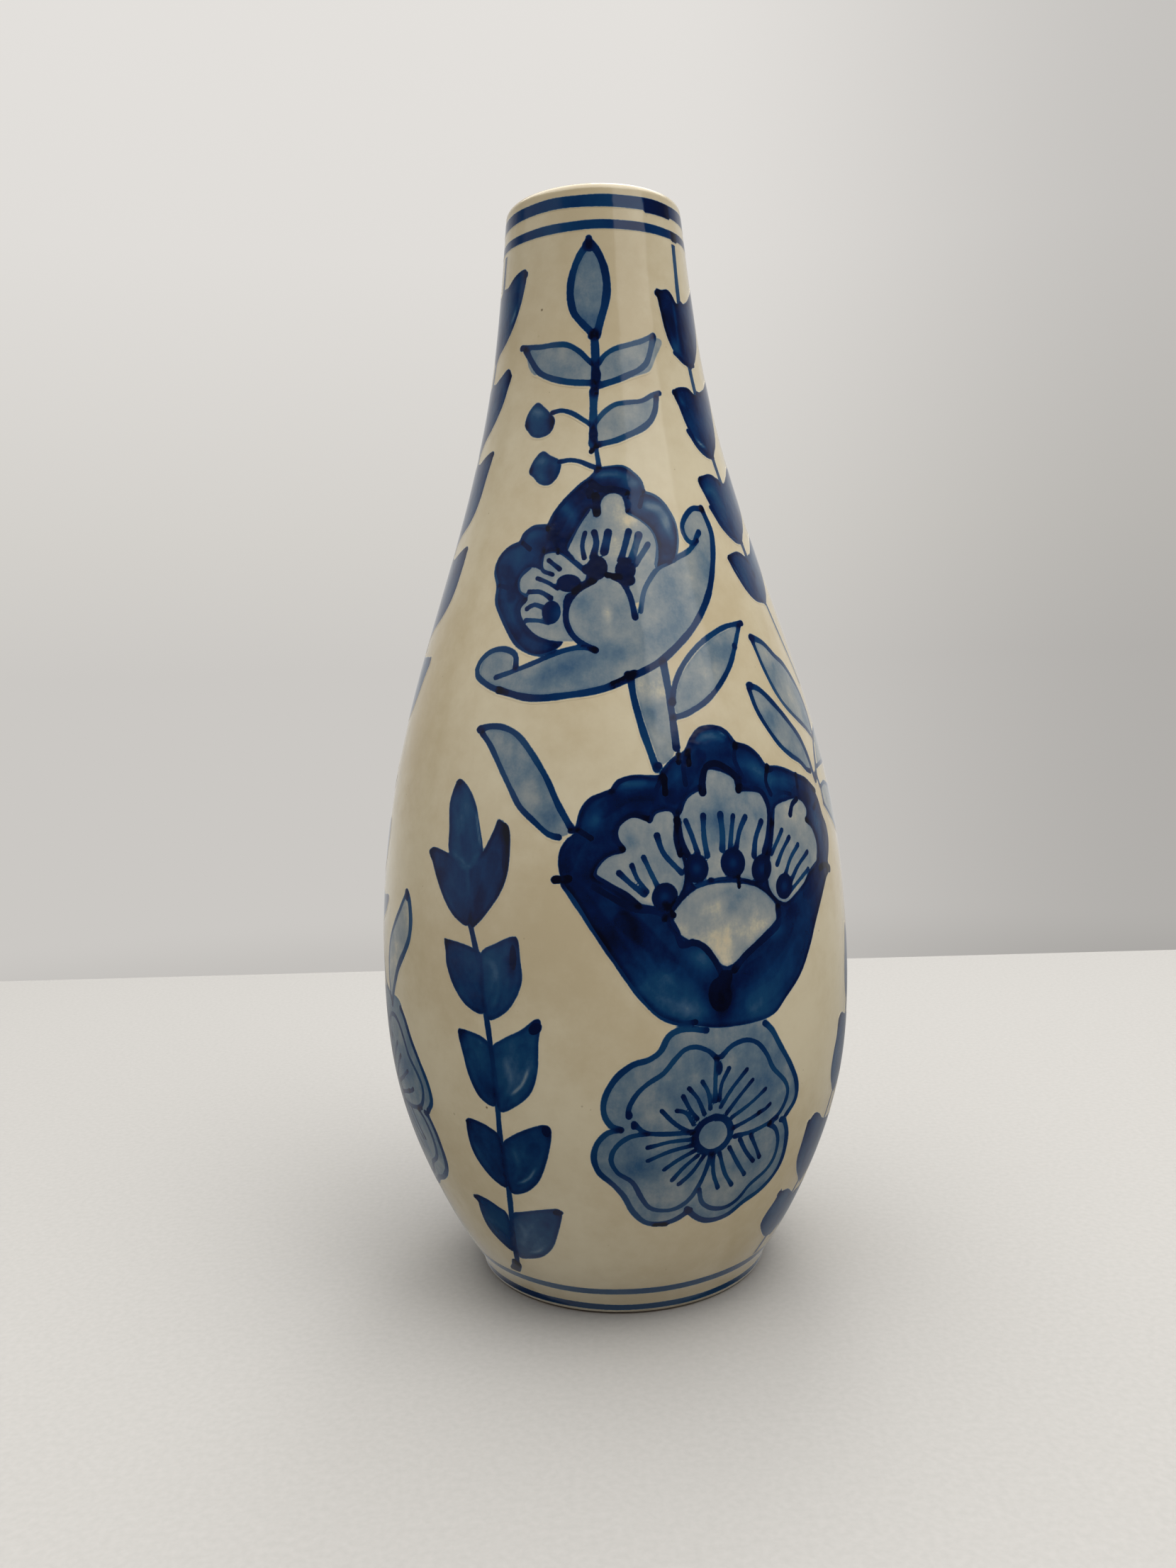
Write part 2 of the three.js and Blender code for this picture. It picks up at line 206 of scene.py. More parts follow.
def inside_profile(distance, lip_start):
    z = np.linspace(LIP_CENTRE_Z - 2, FLOOR_FILLET_TOP, 90)
    radius, slope = outer_wall(z)
    wall = pushed(radius - wall_thickness(z), z, -np.ones_like(z), slope, distance)
    corner_r, corner_z = wall[-1]
    fillet = []
    for angle in np.radians(np.linspace(8, 90, 10)):
        fillet.append((corner_r - FLOOR_FILLET_REACH * (1 - math.cos(angle)),
                       corner_z - (corner_z - FLOOR_TOP - distance) * math.sin(angle)))
    fillet_end = corner_r - FLOOR_FILLET_REACH
    floor = [(fillet_end - step, FLOOR_TOP + distance) for step in FLOOR_RING_STEPS]
    floor.append((0.0, FLOOR_TOP + distance))
    return lip_arc(lip_start, 180, distance) + wall + fillet + floor


# ---- Shader building --------------------------------------------------------------------

class Nodes:
    """A small helper that adds linked nodes to the node tree of a material or a world."""

    def __init__(self, owner):
        owner.use_nodes = True
        self.owner = owner
        self.tree = owner.node_tree
        self.shader = self.tree.nodes.get("Principled BSDF")

    def add(self, kind, inputs=None, **settings):
        node = self.tree.nodes.new("ShaderNode" + kind)
        for key, value in settings.items():
            setattr(node, key, value)
        for key, value in (inputs or {}).items():
            self.feed(node.inputs[key], value)
        return node

    def feed(self, socket, value):
        if isinstance(value, bpy.types.NodeSocket):
            self.tree.links.new(value, socket)
        else:
            socket.default_value = value

    def math(self, operation, a, b=0.0):
        return self.add("Math", {0: a, 1: b}, operation=operation).outputs[0]

    def mix(self, factor, a, b):
        node = self.add("Mix", data_type="RGBA")
        self.feed(node.inputs[0], factor)
        self.feed(node.inputs[6], a)
        self.feed(node.inputs[7], b)
        return node.outputs[2]

    def noise(self, scale, detail, stretch=(1.0, 1.0, 1.0), rough=0.5):
        place = self.add("TexCoord").outputs["Object"]
        place = self.add("Mapping", {"Vector": place, "Scale": stretch}).outputs[0]
        inputs = {"Vector": place, "Scale": scale, "Detail": detail, "Roughness": rough}
        return self.add("TexNoise", inputs).outputs["Fac"]

    def around(self, value, strength):
        """Noise moved to swing round zero by about plus or minus the strength."""
        return self.math("MULTIPLY", self.math("SUBTRACT", value, 0.5), 2 * strength)

    def ramp(self, factor, stops):
        node = self.add("ValToRGB", {"Fac": factor})
        elements = node.color_ramp.elements
        while len(elements) < len(stops):
            elements.new(0.5)
        for element, (position, colour) in zip(elements, stops):
            element.position = position
            element.color = (*colour, 1.0)
        return node.outputs["Color"]

    def step(self, value, low, high):
        inputs = {"Value": value, "From Min": low, "From Max": high}
        return self.add("MapRange", inputs, interpolation_type="SMOOTHSTEP").outputs[0]


def srgb(red, green, blue):
    """Linear colour from 0 to 255 display values."""
    def linear(value):
        value = value / 255
        return value / 12.92 if value <= 0.04045 else ((value + 0.055) / 1.055) ** 2.4
    return linear(red), linear(green), linear(blue)


GLAZE_LIGHT = srgb(206, 196, 170)
GLAZE_WARM = srgb(190, 176, 146)
SPECK = srgb(96, 78, 56)
# Each sort of speck: cells in a metre, size as a share of a cell, and strength.
SPECKS = ((150.0, 0.034, 0.85), (420.0, 0.050, 0.32))
COBALT_STOPS = [
    (0.00, srgb(196, 188, 164)), (0.16, srgb(142, 148, 148)), (0.32, srgb(94, 114, 130)),
    (0.46, srgb(50, 82, 114)), (0.58, srgb(15, 60, 98)), (0.70, srgb(3, 42, 86)),
    (0.84, srgb(0, 19, 62)), (1.00, srgb(0, 2, 22)),
]


def glaze_colour(nodes):
    """Cream tin glaze: broad warm drifts, faint mottle and sparse dark pinholes."""
    drift = nodes.noise(22.0, 3.0)
    mottle = nodes.noise(260.0, 4.0, rough=0.6)
    tone = nodes.math("ADD", drift, nodes.around(mottle, 0.16))
    colour = nodes.mix(nodes.step(tone, 0.32, 0.72), (*GLAZE_LIGHT, 1), (*GLAZE_WARM, 1))
    place = nodes.add("TexCoord").outputs["Object"]
    for scale, size, strength in SPECKS:
        cell = nodes.add("TexVoronoi", {"Vector": place, "Scale": scale})
        keep = nodes.step(cell.outputs["Color"], 0.74, 0.80)
        dot = nodes.step(cell.outputs["Distance"], size * 1.9, size * 0.7)
        amount = nodes.math("MULTIPLY", nodes.math("MULTIPLY", dot, keep), strength)
        colour = nodes.mix(amount, colour, (*SPECK, 1))
    return colour


def glaze_finish(nodes, colour, roughness=0.07):
    """Glass-smooth gloss that is very slightly uneven, as on a dipped and fired coat."""
    nodes.feed(nodes.shader.inputs["Base Color"], colour)
    uneven = nodes.noise(90.0, 2.0)
    rough = nodes.math("ADD", roughness, nodes.around(uneven, 0.015))
    nodes.feed(nodes.shader.inputs["Roughness"], rough)
    nodes.shader.inputs["IOR"].default_value = 1.5
    waves = nodes.math("ADD", nodes.noise(30.0, 1.0, (1.0, 1.0, 1.6)), nodes.noise(240.0, 2.0))
    bump = nodes.add("Bump", {"Strength": 0.12, "Distance": 0.0006, "Height": waves})
    nodes.feed(nodes.shader.inputs["Normal"], bump.outputs[0])


def plain_glaze_material():
    nodes = Nodes(bpy.data.materials.new("cream_glaze"))
    glaze_finish(nodes, glaze_colour(nodes))
    return nodes.owner


def inside_glaze_material():
    nodes = Nodes(bpy.data.materials.new("inside_glaze"))
    colour = nodes.mix(0.35, glaze_colour(nodes), (*srgb(150, 134, 104), 1))
    glaze_finish(nodes, colour, 0.16)
    return nodes.owner


def clay_material():
    nodes = Nodes(bpy.data.materials.new("fired_clay"))
    grain = nodes.noise(900.0, 6.0, rough=0.7)
    blotch = nodes.noise(60.0, 3.0)
    tone = nodes.math("ADD", nodes.math("MULTIPLY", grain, 0.5), nodes.math("MULTIPLY", blotch, 0.5))
    stops = [(0.30, srgb(128, 88, 62)), (0.52, srgb(176, 134, 100)), (0.75, srgb(206, 170, 136))]
    nodes.feed(nodes.shader.inputs["Base Color"], nodes.ramp(tone, stops))
    nodes.shader.inputs["Roughness"].default_value = 0.85
    bump = nodes.add("Bump", {"Strength": 0.5, "Distance": 0.0004, "Height": grain})
    nodes.feed(nodes.shader.inputs["Normal"], bump.outputs[0])
    return nodes.owner


def painted_material():
    """Cobalt under glaze. Two vertex fields drive it: the distance in millimetres inside the
    edge of the ink lines, dark fills and pale washes, and how loaded the brush was for each."""
    nodes = Nodes(bpy.data.materials.new("cobalt_paint"))
    reach = nodes.add("Attribute", attribute_name="reach").outputs["Vector"]
    reach = nodes.add("SeparateXYZ", {0: reach}).outputs
    load = nodes.add("Attribute", attribute_name="load").outputs["Vector"]
    load = nodes.add("SeparateXYZ", {0: load}).outputs
    ragged = nodes.around(nodes.noise(1500.0, 3.0, rough=0.65), 0.10)
    broad = nodes.noise(120.0, 4.0, rough=0.6)
    streak = nodes.noise(420.0, 3.0, (1.0, 1.0, 0.35), 0.6)
    grain = nodes.noise(2400.0, 2.0)
    mottle = nodes.math("ADD", nodes.around(broad, 0.22), nodes.around(streak, 0.07))
    mottle = nodes.math("ADD", mottle, nodes.around(grain, 0.03))
    density = 0.0
    settings = (("wash", 2, 0.22, 1.0), ("dark", 1, 0.16, 0.9), ("ink", 0, 0.14, 0.35))
    for name, axis, softness, swing in settings:
        inside = nodes.math("ADD", reach[axis], ragged)
        mask = nodes.step(inside, -softness, softness)
        amount = nodes.math("ADD", load[axis], nodes.math("MULTIPLY", mottle, swing))
        if name == "wash":
            pooled = nodes.step(inside, 0.9, 0.1)
            amount = nodes.math("ADD", amount, nodes.math("MULTIPLY", pooled, 0.05))
            density = nodes.math("MULTIPLY", mask, amount)
        elif name == "dark":
            pooled = nodes.step(inside, 1.3, 0.3)
            amount = nodes.math("ADD", amount, nodes.math("MULTIPLY", pooled, 0.09))
            mixed = nodes.add("Mix", {0: mask}, data_type="FLOAT")
            nodes.feed(mixed.inputs[2], density)
            nodes.feed(mixed.inputs[3], amount)
            density = mixed.outputs[0]
        else:
            density = nodes.math("MAXIMUM", density, nodes.math("MULTIPLY", mask, amount))
    cobalt = nodes.ramp(density, COBALT_STOPS)
    shown = nodes.step(density, 0.0, 0.14)
    glaze_finish(nodes, nodes.mix(shown, glaze_colour(nodes), cobalt))
    return nodes.owner


# ---- Brush work on an unrolled patch ----------------------------------------------------

def smooth_run(points, closed_loop=False):
    """A smooth curve through given points, as short straight pieces."""
    points = np.asarray(points, float)
    if closed_loop:
        padded = np.vstack([points[-1], points, points[:2]])
    else:
        padded = np.vstack([2 * points[0] - points[1], points, 2 * points[-1] - points[-2]])
    run = []
    for before, start, end, after in zip(padded, padded[1:], padded[2:], padded[3:]):
        count = max(2, int(np.hypot(*(end - start)) / RUN_STEP))
        t = np.linspace(0, 1, count, endpoint=False)[:, None]
        curve = 2 * start + (end - before) * t
        curve = curve + (2 * before - 5 * start + 4 * end - after) * t ** 2
        curve = curve + (3 * start - before - 3 * end + after) * t ** 3
        run.append(curve / 2)
    if not closed_loop:
        run.append(points[-1:])
    return np.vstack(run)


class Panel:
    """Half of the vase, unrolled. Motifs are painted on it one after another; the panel keeps
    the ink, dark fill and pale wash of them all, and the painted area of each on its own."""

    def __init__(self, turn, sway, seed):
        self.angles = np.arange(*PANEL_ANGLES, CELL_DEGREES)
        self.heights = np.arange(*PANEL_HEIGHTS, CELL)
        self.degree = outer_wall(self.heights)[0] * math.pi / 180
        self.x, self.z = np.meshgrid(self.angles, self.heights)
        self.turn = turn
        self.sway = sway
        self.random = np.random.default_rng(seed)
        self.phases = self.random.uniform(0, 2 * math.pi, 6)
        self.reach = {layer: np.full(self.x.shape, FAR) for layer in ("ink", "dark", "wash")}
        self.load = {layer: np.zeros(self.x.shape) for layer in ("ink", "dark", "wash")}
        self.areas = {}

    def begin(self, name, shift):
        self.area = np.full(self.x.shape, FAR)
        self.areas[name] = self.area
        self.shift = shift

    def claim(self, rows, columns, signed):
        self.area[rows, columns] = np.maximum(self.area[rows, columns], signed)

    def moved(self, points):
        """A repeat by hand is never exact: points sway by a smooth, small amount."""
        points = np.array(points, float)
        x, z = points[:, 0].copy(), points[:, 1].copy()
        a = self.phases
        aside = np.sin(x / 9 + a[0]) + np.sin(z / 13 + a[1]) + np.sin(z / 5 + a[2]) / 3
        upward = np.sin(z / 11 + a[3]) + np.sin(x / 12 + a[4]) + np.sin(x / 6 + a[5]) / 3
        points[:, 0] += self.sway * aside
        points[:, 1] += self.sway * upward
        points[:, 0] += self.shift
        return points

    def window(self, run, margin):
        """Grid rows and columns that a run of points can reach."""
        wide = margin / self.degree.min()
        columns = np.searchsorted(self.angles, [run[:, 0].min() - wide, run[:, 0].max() + wide])
        rows = np.searchsorted(self.heights, [run[:, 1].min() - margin, run[:, 1].max() + margin])
        return slice(*rows), slice(*columns)

    def distances(self, run, rows, columns):
        """Distance in millimetres to the run, and how far along it the nearest point lies."""
        scale = self.degree[rows][:, None]
        x, z = self.x[rows, columns], self.z[rows, columns]
        nearest = np.full(x.shape, 1e9)
        along = np.zeros(x.shape)
        travelled = 0.0
        for (ax, az), (bx, bz) in zip(run, run[1:]):
            dx, dz = (bx - ax) * scale, bz - az
            px, pz = (x - ax) * scale, z - az
            t = np.clip((px * dx + pz * dz) / (dx * dx + dz * dz + 1e-12), 0, 1)
            gap = np.hypot(px - t * dx, pz - t * dz)
            length = math.hypot((bx - ax) * float(scale.mean()), bz - az)
            closer = gap < nearest
            along = np.where(closer, travelled + t * length, along)
            nearest = np.minimum(nearest, gap)
            travelled += length
        return nearest, along, travelled

    def inside(self, run, rows, columns):
        x, z = self.x[rows, columns], self.z[rows, columns]
        odd = np.zeros(x.shape, bool)
        for (ax, az), (bx, bz) in zip(run, np.roll(run, -1, 0)):
            if az == bz:
                continue
            crosses = (az > z) != (bz > z)
            odd ^= crosses & (x < ax + (bx - ax) * (z - az) / (bz - az))
        return odd

    def region(self, points, layer, load):
        """Fills an outline. A later fill covers earlier ones, and a wash cuts the dark away."""
        run = smooth_run(self.moved(points), True)
        rows, columns = self.window(run, 3.0)
        gap, _, _ = self.distances(np.vstack([run, run[:1]]), rows, columns)
        signed = np.where(self.inside(run, rows, columns), gap, -gap)
        self.claim(rows, columns, signed)
        field, tone = self.reach[layer], self.load[layer]
        untouched = field[rows, columns] <= FAR + 1e-6
        weight = np.clip(signed / FILL_BLEND + 0.5, 0, 1)
        weight = np.where(untouched, 1, weight)
        tone[rows, columns] = tone[rows, columns] * (1 - weight) + load * weight
        field[rows, columns] = np.maximum(field[rows, columns], signed)
        if layer == "wash":
            covered = self.reach["dark"]
            covered[rows, columns] = np.minimum(covered[rows, columns], -signed)

    def dark(self, points, load):
        self.region(points, "dark", load)

    def wash(self, points, load):
        self.region(points, "wash", load)

    def tint(self, layer, centre, size, change, tilt=0.0):
        """A soft patch where the wash pooled or ran thin; a few patches are painted reflection."""
        centre = self.moved([centre])[0]
        rows, columns = self.window(np.array([centre]), 2.6 * max(size))
        across, up = self.turned(centre, size, tilt, rows, columns)
        self.load[layer][rows, columns] += change * np.exp(-(across ** 2 + up ** 2))

    def turned(self, centre, size, tilt, rows, columns):
        """Coordinates across and up a tilted oval, 1 on its edge."""
        dx = (self.x[rows, columns] - centre[0]) * self.degree[rows][:, None]
        dz = self.z[rows, columns] - centre[1]
        turn = math.radians(tilt)
        across = (dx * math.cos(turn) + dz * math.sin(turn)) / size[0]
        up = (dz * math.cos(turn) - dx * math.sin(turn)) / size[1]
        return across, up

    def line(self, points, width, load, ends=0.14):
        """One brush stroke with round, slightly heavier ends."""
        run = smooth_run(self.moved(points))
        rows, columns = self.window(run, width / 2 + 2.0)
        gap, along, total = self.distances(run, rows, columns)
        swing = self.random.uniform(0, 2 * math.pi, 2)
        wobble = 0.05 * np.sin(along / 2.3 + swing[0]) + 0.04 * np.sin(along / 0.9 + swing[1])
        from_end = np.minimum(along, total - along)
        heavy = np.exp(-(from_end / 1.1) ** 2)
        signed = width / 2 * (1 + wobble + 0.12 * heavy) - gap
        self.claim(rows, columns, signed)
        tone = load + ends * heavy + 0.05 * np.sin(along / 4.0 + swing[1])
        cover = np.clip(signed / LINE_BLEND + 0.5, 0, 1)
        field, held = self.reach["ink"], self.load["ink"]
        before = field[rows, columns]
        both = np.clip(before / LINE_BLEND + 0.5, 0, 1) * cover
        fresh = np.where(signed > before, tone, held[rows, columns])
        held[rows, columns] = fresh + 0.13 * both
        field[rows, columns] = np.maximum(before, signed)

    def blob(self, centre, size, load, tilt=0.0):
        """A loaded dab of ink, from its half sizes in millimetres."""
        centre = self.moved([centre])[0]
        rows, columns = self.window(np.array([centre]), max(size) + 2.0)
        across, up = self.turned(centre, size, tilt, rows, columns)
        signed = (1 - np.hypot(across, up)) * min(size)
        self.claim(rows, columns, signed)
        field, held = self.reach["ink"], self.load["ink"]
        cover = np.clip(signed / BLOB_BLEND + 0.5, 0, 1)
        started = field[rows, columns] > FAR + 1
        held[rows, columns] = np.where(started, held[rows, columns] * (1 - cover) + load * cover, load)
        field[rows, columns] = np.maximum(field[rows, columns], signed)

    def second_pass(self, points, width, change):
        """A broad stroke over a dark fill that left a second, firm-edged coat."""
        run = smooth_run(self.moved(points))
        rows, columns = self.window(run, width + 1.0)
        gap, along, _ = self.distances(run, rows, columns)
        ragged = width / 2 - gap + 0.18 * np.sin(along / 1.7)
        cover = np.clip(ragged / FILL_BLEND + 0.5, 0, 1)
        self.load["dark"][rows, columns] += change * cover

    def glint(self, points, width, change):
        """A thin lighter stroke over a dark fill: painted highlight, and also where the brush left the
        fill thin.
        """
        run = smooth_run(self.moved(points))
        rows, columns = self.window(run, width + 1.0)
        gap, along, total = self.distances(run, rows, columns)
        fade = np.clip(np.minimum(along, total - along) / 2.0, 0, 1)
        self.load["dark"][rows, columns] += change * fade * np.exp(-(gap / width) ** 2)


# ---- Films cut from a patch -------------------------------------------------------------

CORNERS = ((0, 0), (0, 1), (1, 1), (1, 0))


def cut_cells(field):
    """Marching squares: the polygons where a field is positive, with shared vertices.
    Returns vertex positions in grid units, polygons, and the boundary's edges."""
    inside = field > 0
    rows, columns = field.shape
    number = np.full(field.shape, -1)
    number[inside] = np.arange(inside.sum())
    grid_rows, grid_columns = np.nonzero(inside)
    places = [np.stack([grid_rows, grid_columns], -1).astype(float)]
    count = len(grid_rows)
    extra = []
    crossing_number = {}

    def crossing(a, b):
        key = (min(a, b), max(a, b))
        if key not in crossing_number:
            t = field[a] / (field[a] - field[b])
            t = min(max(t, 0.02), 0.98)
            extra.append((a[0] + t * (b[0] - a[0]), a[1] + t * (b[1] - a[1])))
            crossing_number[key] = count + len(extra) - 1
        return crossing_number[key]

    corner_count = sum(inside[r:rows - 1 + r, c:columns - 1 + c].astype(int) for r, c in CORNERS)
    polygons = []
    full_rows, full_columns = np.nonzero(corner_count == 4)
    for r, c in zip(full_rows.tolist(), full_columns.tolist()):
        polygons.append([int(number[r + dr, c + dc]) for dr, dc in CORNERS])
    boundary = []
    part_rows, part_columns = np.nonzero((corner_count > 0) & (corner_count < 4))
    for r, c in zip(part_rows.tolist(), part_columns.tolist()):
        polygon = []
        on_cut = []
        for k in range(4):
            a = (r + CORNERS[k][0], c + CORNERS[k][1])
            b = (r + CORNERS[(k + 1) % 4][0], c + CORNERS[(k + 1) % 4][1])
            if inside[a]:
                polygon.append(int(number[a]))
                on_cut.append(False)
            if inside[a] != inside[b]:
                polygon.append(crossing(a, b))
                on_cut.append(True)
        polygons.append(polygon)
        for k in range(len(polygon)):
            after = (k + 1) % len(polygon)
            if on_cut[k] and on_cut[after]:
                boundary.append((polygon[k], polygon[after]))
    if extra:
        places.append(np.array(extra))
    return np.vstack(places), polygons, boundary


def sampled(field, places):
    """Field values between grid points."""
    low = np.floor(places).astype(int)
    low[:, 0] = np.clip(low[:, 0], 0, field.shape[0] - 2)
    low[:, 1] = np.clip(low[:, 1], 0, field.shape[1] - 2)
    t = places - low
    r, c = low[:, 0], low[:, 1]
    below = field[r, c] * (1 - t[:, 1]) + field[r, c + 1] * t[:, 1]
    above = field[r + 1, c] * (1 - t[:, 1]) + field[r + 1, c + 1] * t[:, 1]
    return below * (1 - t[:, 0]) + above * t[:, 0]


def vertex_field(mesh, name, columns):
    attribute = mesh.attributes.new(name, "FLOAT_VECTOR", "POINT")
    attribute.data.foreach_set("vector", np.stack(columns, -1).astype(np.float32).ravel())


def film(name, panel, motif, material):
    """One closed, hair-thin film: the motif's painted area, cut where a neighbour takes over."""
    area = panel.areas[motif]
    rival = np.max([other for key, other in panel.areas.items() if key != motif], 0)
    field = np.minimum(area + PAINT_MARGIN, area - rival)
    field[[0, -1], :] = -1.0
    field[:, [0, -1]] = -1.0
    row_list, column_list = np.nonzero(field > 0)
    rows = slice(row_list.min() - 1, row_list.max() + 2)
    columns = slice(column_list.min() - 1, column_list.max() + 2)
    places, polygons, boundary = cut_cells(field[rows, columns])
    angles = panel.angles[columns.start] + places[:, 1] * CELL_DEGREES + panel.turn
    heights = panel.heights[rows.start] + places[:, 0] * CELL
    top = on_wall(angles, heights, PAINT_LIFT)
    bottom = on_wall(angles, heights, PAINT_DEPTH)
    count = len(places)
    faces = list(polygons)
    faces += [[count + v for v in reversed(polygon)] for polygon in polygons]
    faces += [[b, a, count + a, count + b] for a, b in boundary]
    obj = new_object(name, np.vstack([top, bottom]), faces, material)
    mesh = obj.data
    mesh.shade_smooth()
    mesh.set_sharp_from_angle(angle=math.radians(SHARP_EDGE))
    for label, fields in (("reach", panel.reach), ("load", panel.load)):
        values = [sampled(fields[layer][rows, columns], places) for layer in ("ink", "dark", "wash")]
        vertex_field(mesh, label, [np.tile(value, 2) for value in values])
    return obj


def band(name, span, load, seed, material, joins):
    """A brushed band all the way round, its edges wavering a little. Where the stroke ran over
    its own start (each join: angle, half width, sag in mm, extra load) it is darker and sags."""
    random = np.random.default_rng(seed)
    steps = BAND_STEPS
    degrees = np.arange(steps) * 360 / steps
    phases = random.uniform(0, 2 * math.pi, (3, 4))

    def waver(row, size):
        turns = (1, 2, 5, 11)
        waves = []
        for k, phase in zip(turns, phases[row]):
            waves.append(np.sin(np.radians(degrees) * k + phase) / (1 + 0.25 * k))
        return size * np.sum(waves, 0)

    middle = (span[0] + span[1]) / 2 + waver(0, 0.12)
    half = (span[1] - span[0]) / 2 * (1 + waver(1, 0.05))
    extra = np.zeros(steps)
    for angle, width, sag, more in joins:
        away = np.abs((degrees - angle + 180) % 360 - 180)
        inside = np.clip((width - away) / 1.5, 0, 1)
        middle = middle - sag / 2 * inside
        half = half + sag / 2 * inside
        extra = np.maximum(extra, more * inside)
    across = np.linspace(-1, 1, BAND_ROWS)
    rows = 1 + BAND_MARGIN / half[None, :]
    heights = middle[None, :] + across[:, None] * rows * half[None, :]
    angles = np.tile(degrees, (len(across), 1))
    top = on_wall(angles.ravel(), heights.ravel(), PAINT_LIFT)
    bottom = on_wall(angles.ravel(), heights.ravel(), PAINT_DEPTH)
    count = len(top)
    faces = []
    last = len(across) - 1
    for k in range(steps):
        n = (k + 1) % steps
        for row in range(last):
            a, b = row * steps + k, row * steps + n
            c, d = (row + 1) * steps + n, (row + 1) * steps + k
            faces.append([a, b, c, d])
            faces.append([count + d, count + c, count + b, count + a])
        faces.append([n, k, count + k, count + n])
        end = last * steps
        faces.append([end + k, end + n, count + end + n, count + end + k])
    obj = new_object(name, np.vstack([top, bottom]), faces, material)
    obj.data.shade_smooth()
    obj.data.set_sharp_from_angle(angle=math.radians(SHARP_EDGE))
    ink = half[None, :] - np.abs(heights - middle[None, :])
    tone = load + (waver(2, 0.05) + extra)[None, :] + 0 * heights
    empty = np.full(count * 2, FAR)
    vertex_field(obj.data, "reach", [np.tile(ink.ravel(), 2), empty, empty])
    vertex_field(obj.data, "load", [np.tile(tone.ravel(), 2), 0 * empty, 0 * empty])
    return obj


# ---- The painted motifs ------------------------------------------------------------------
# Each takes a patch and paints it. Points are (degrees, millimetres up).

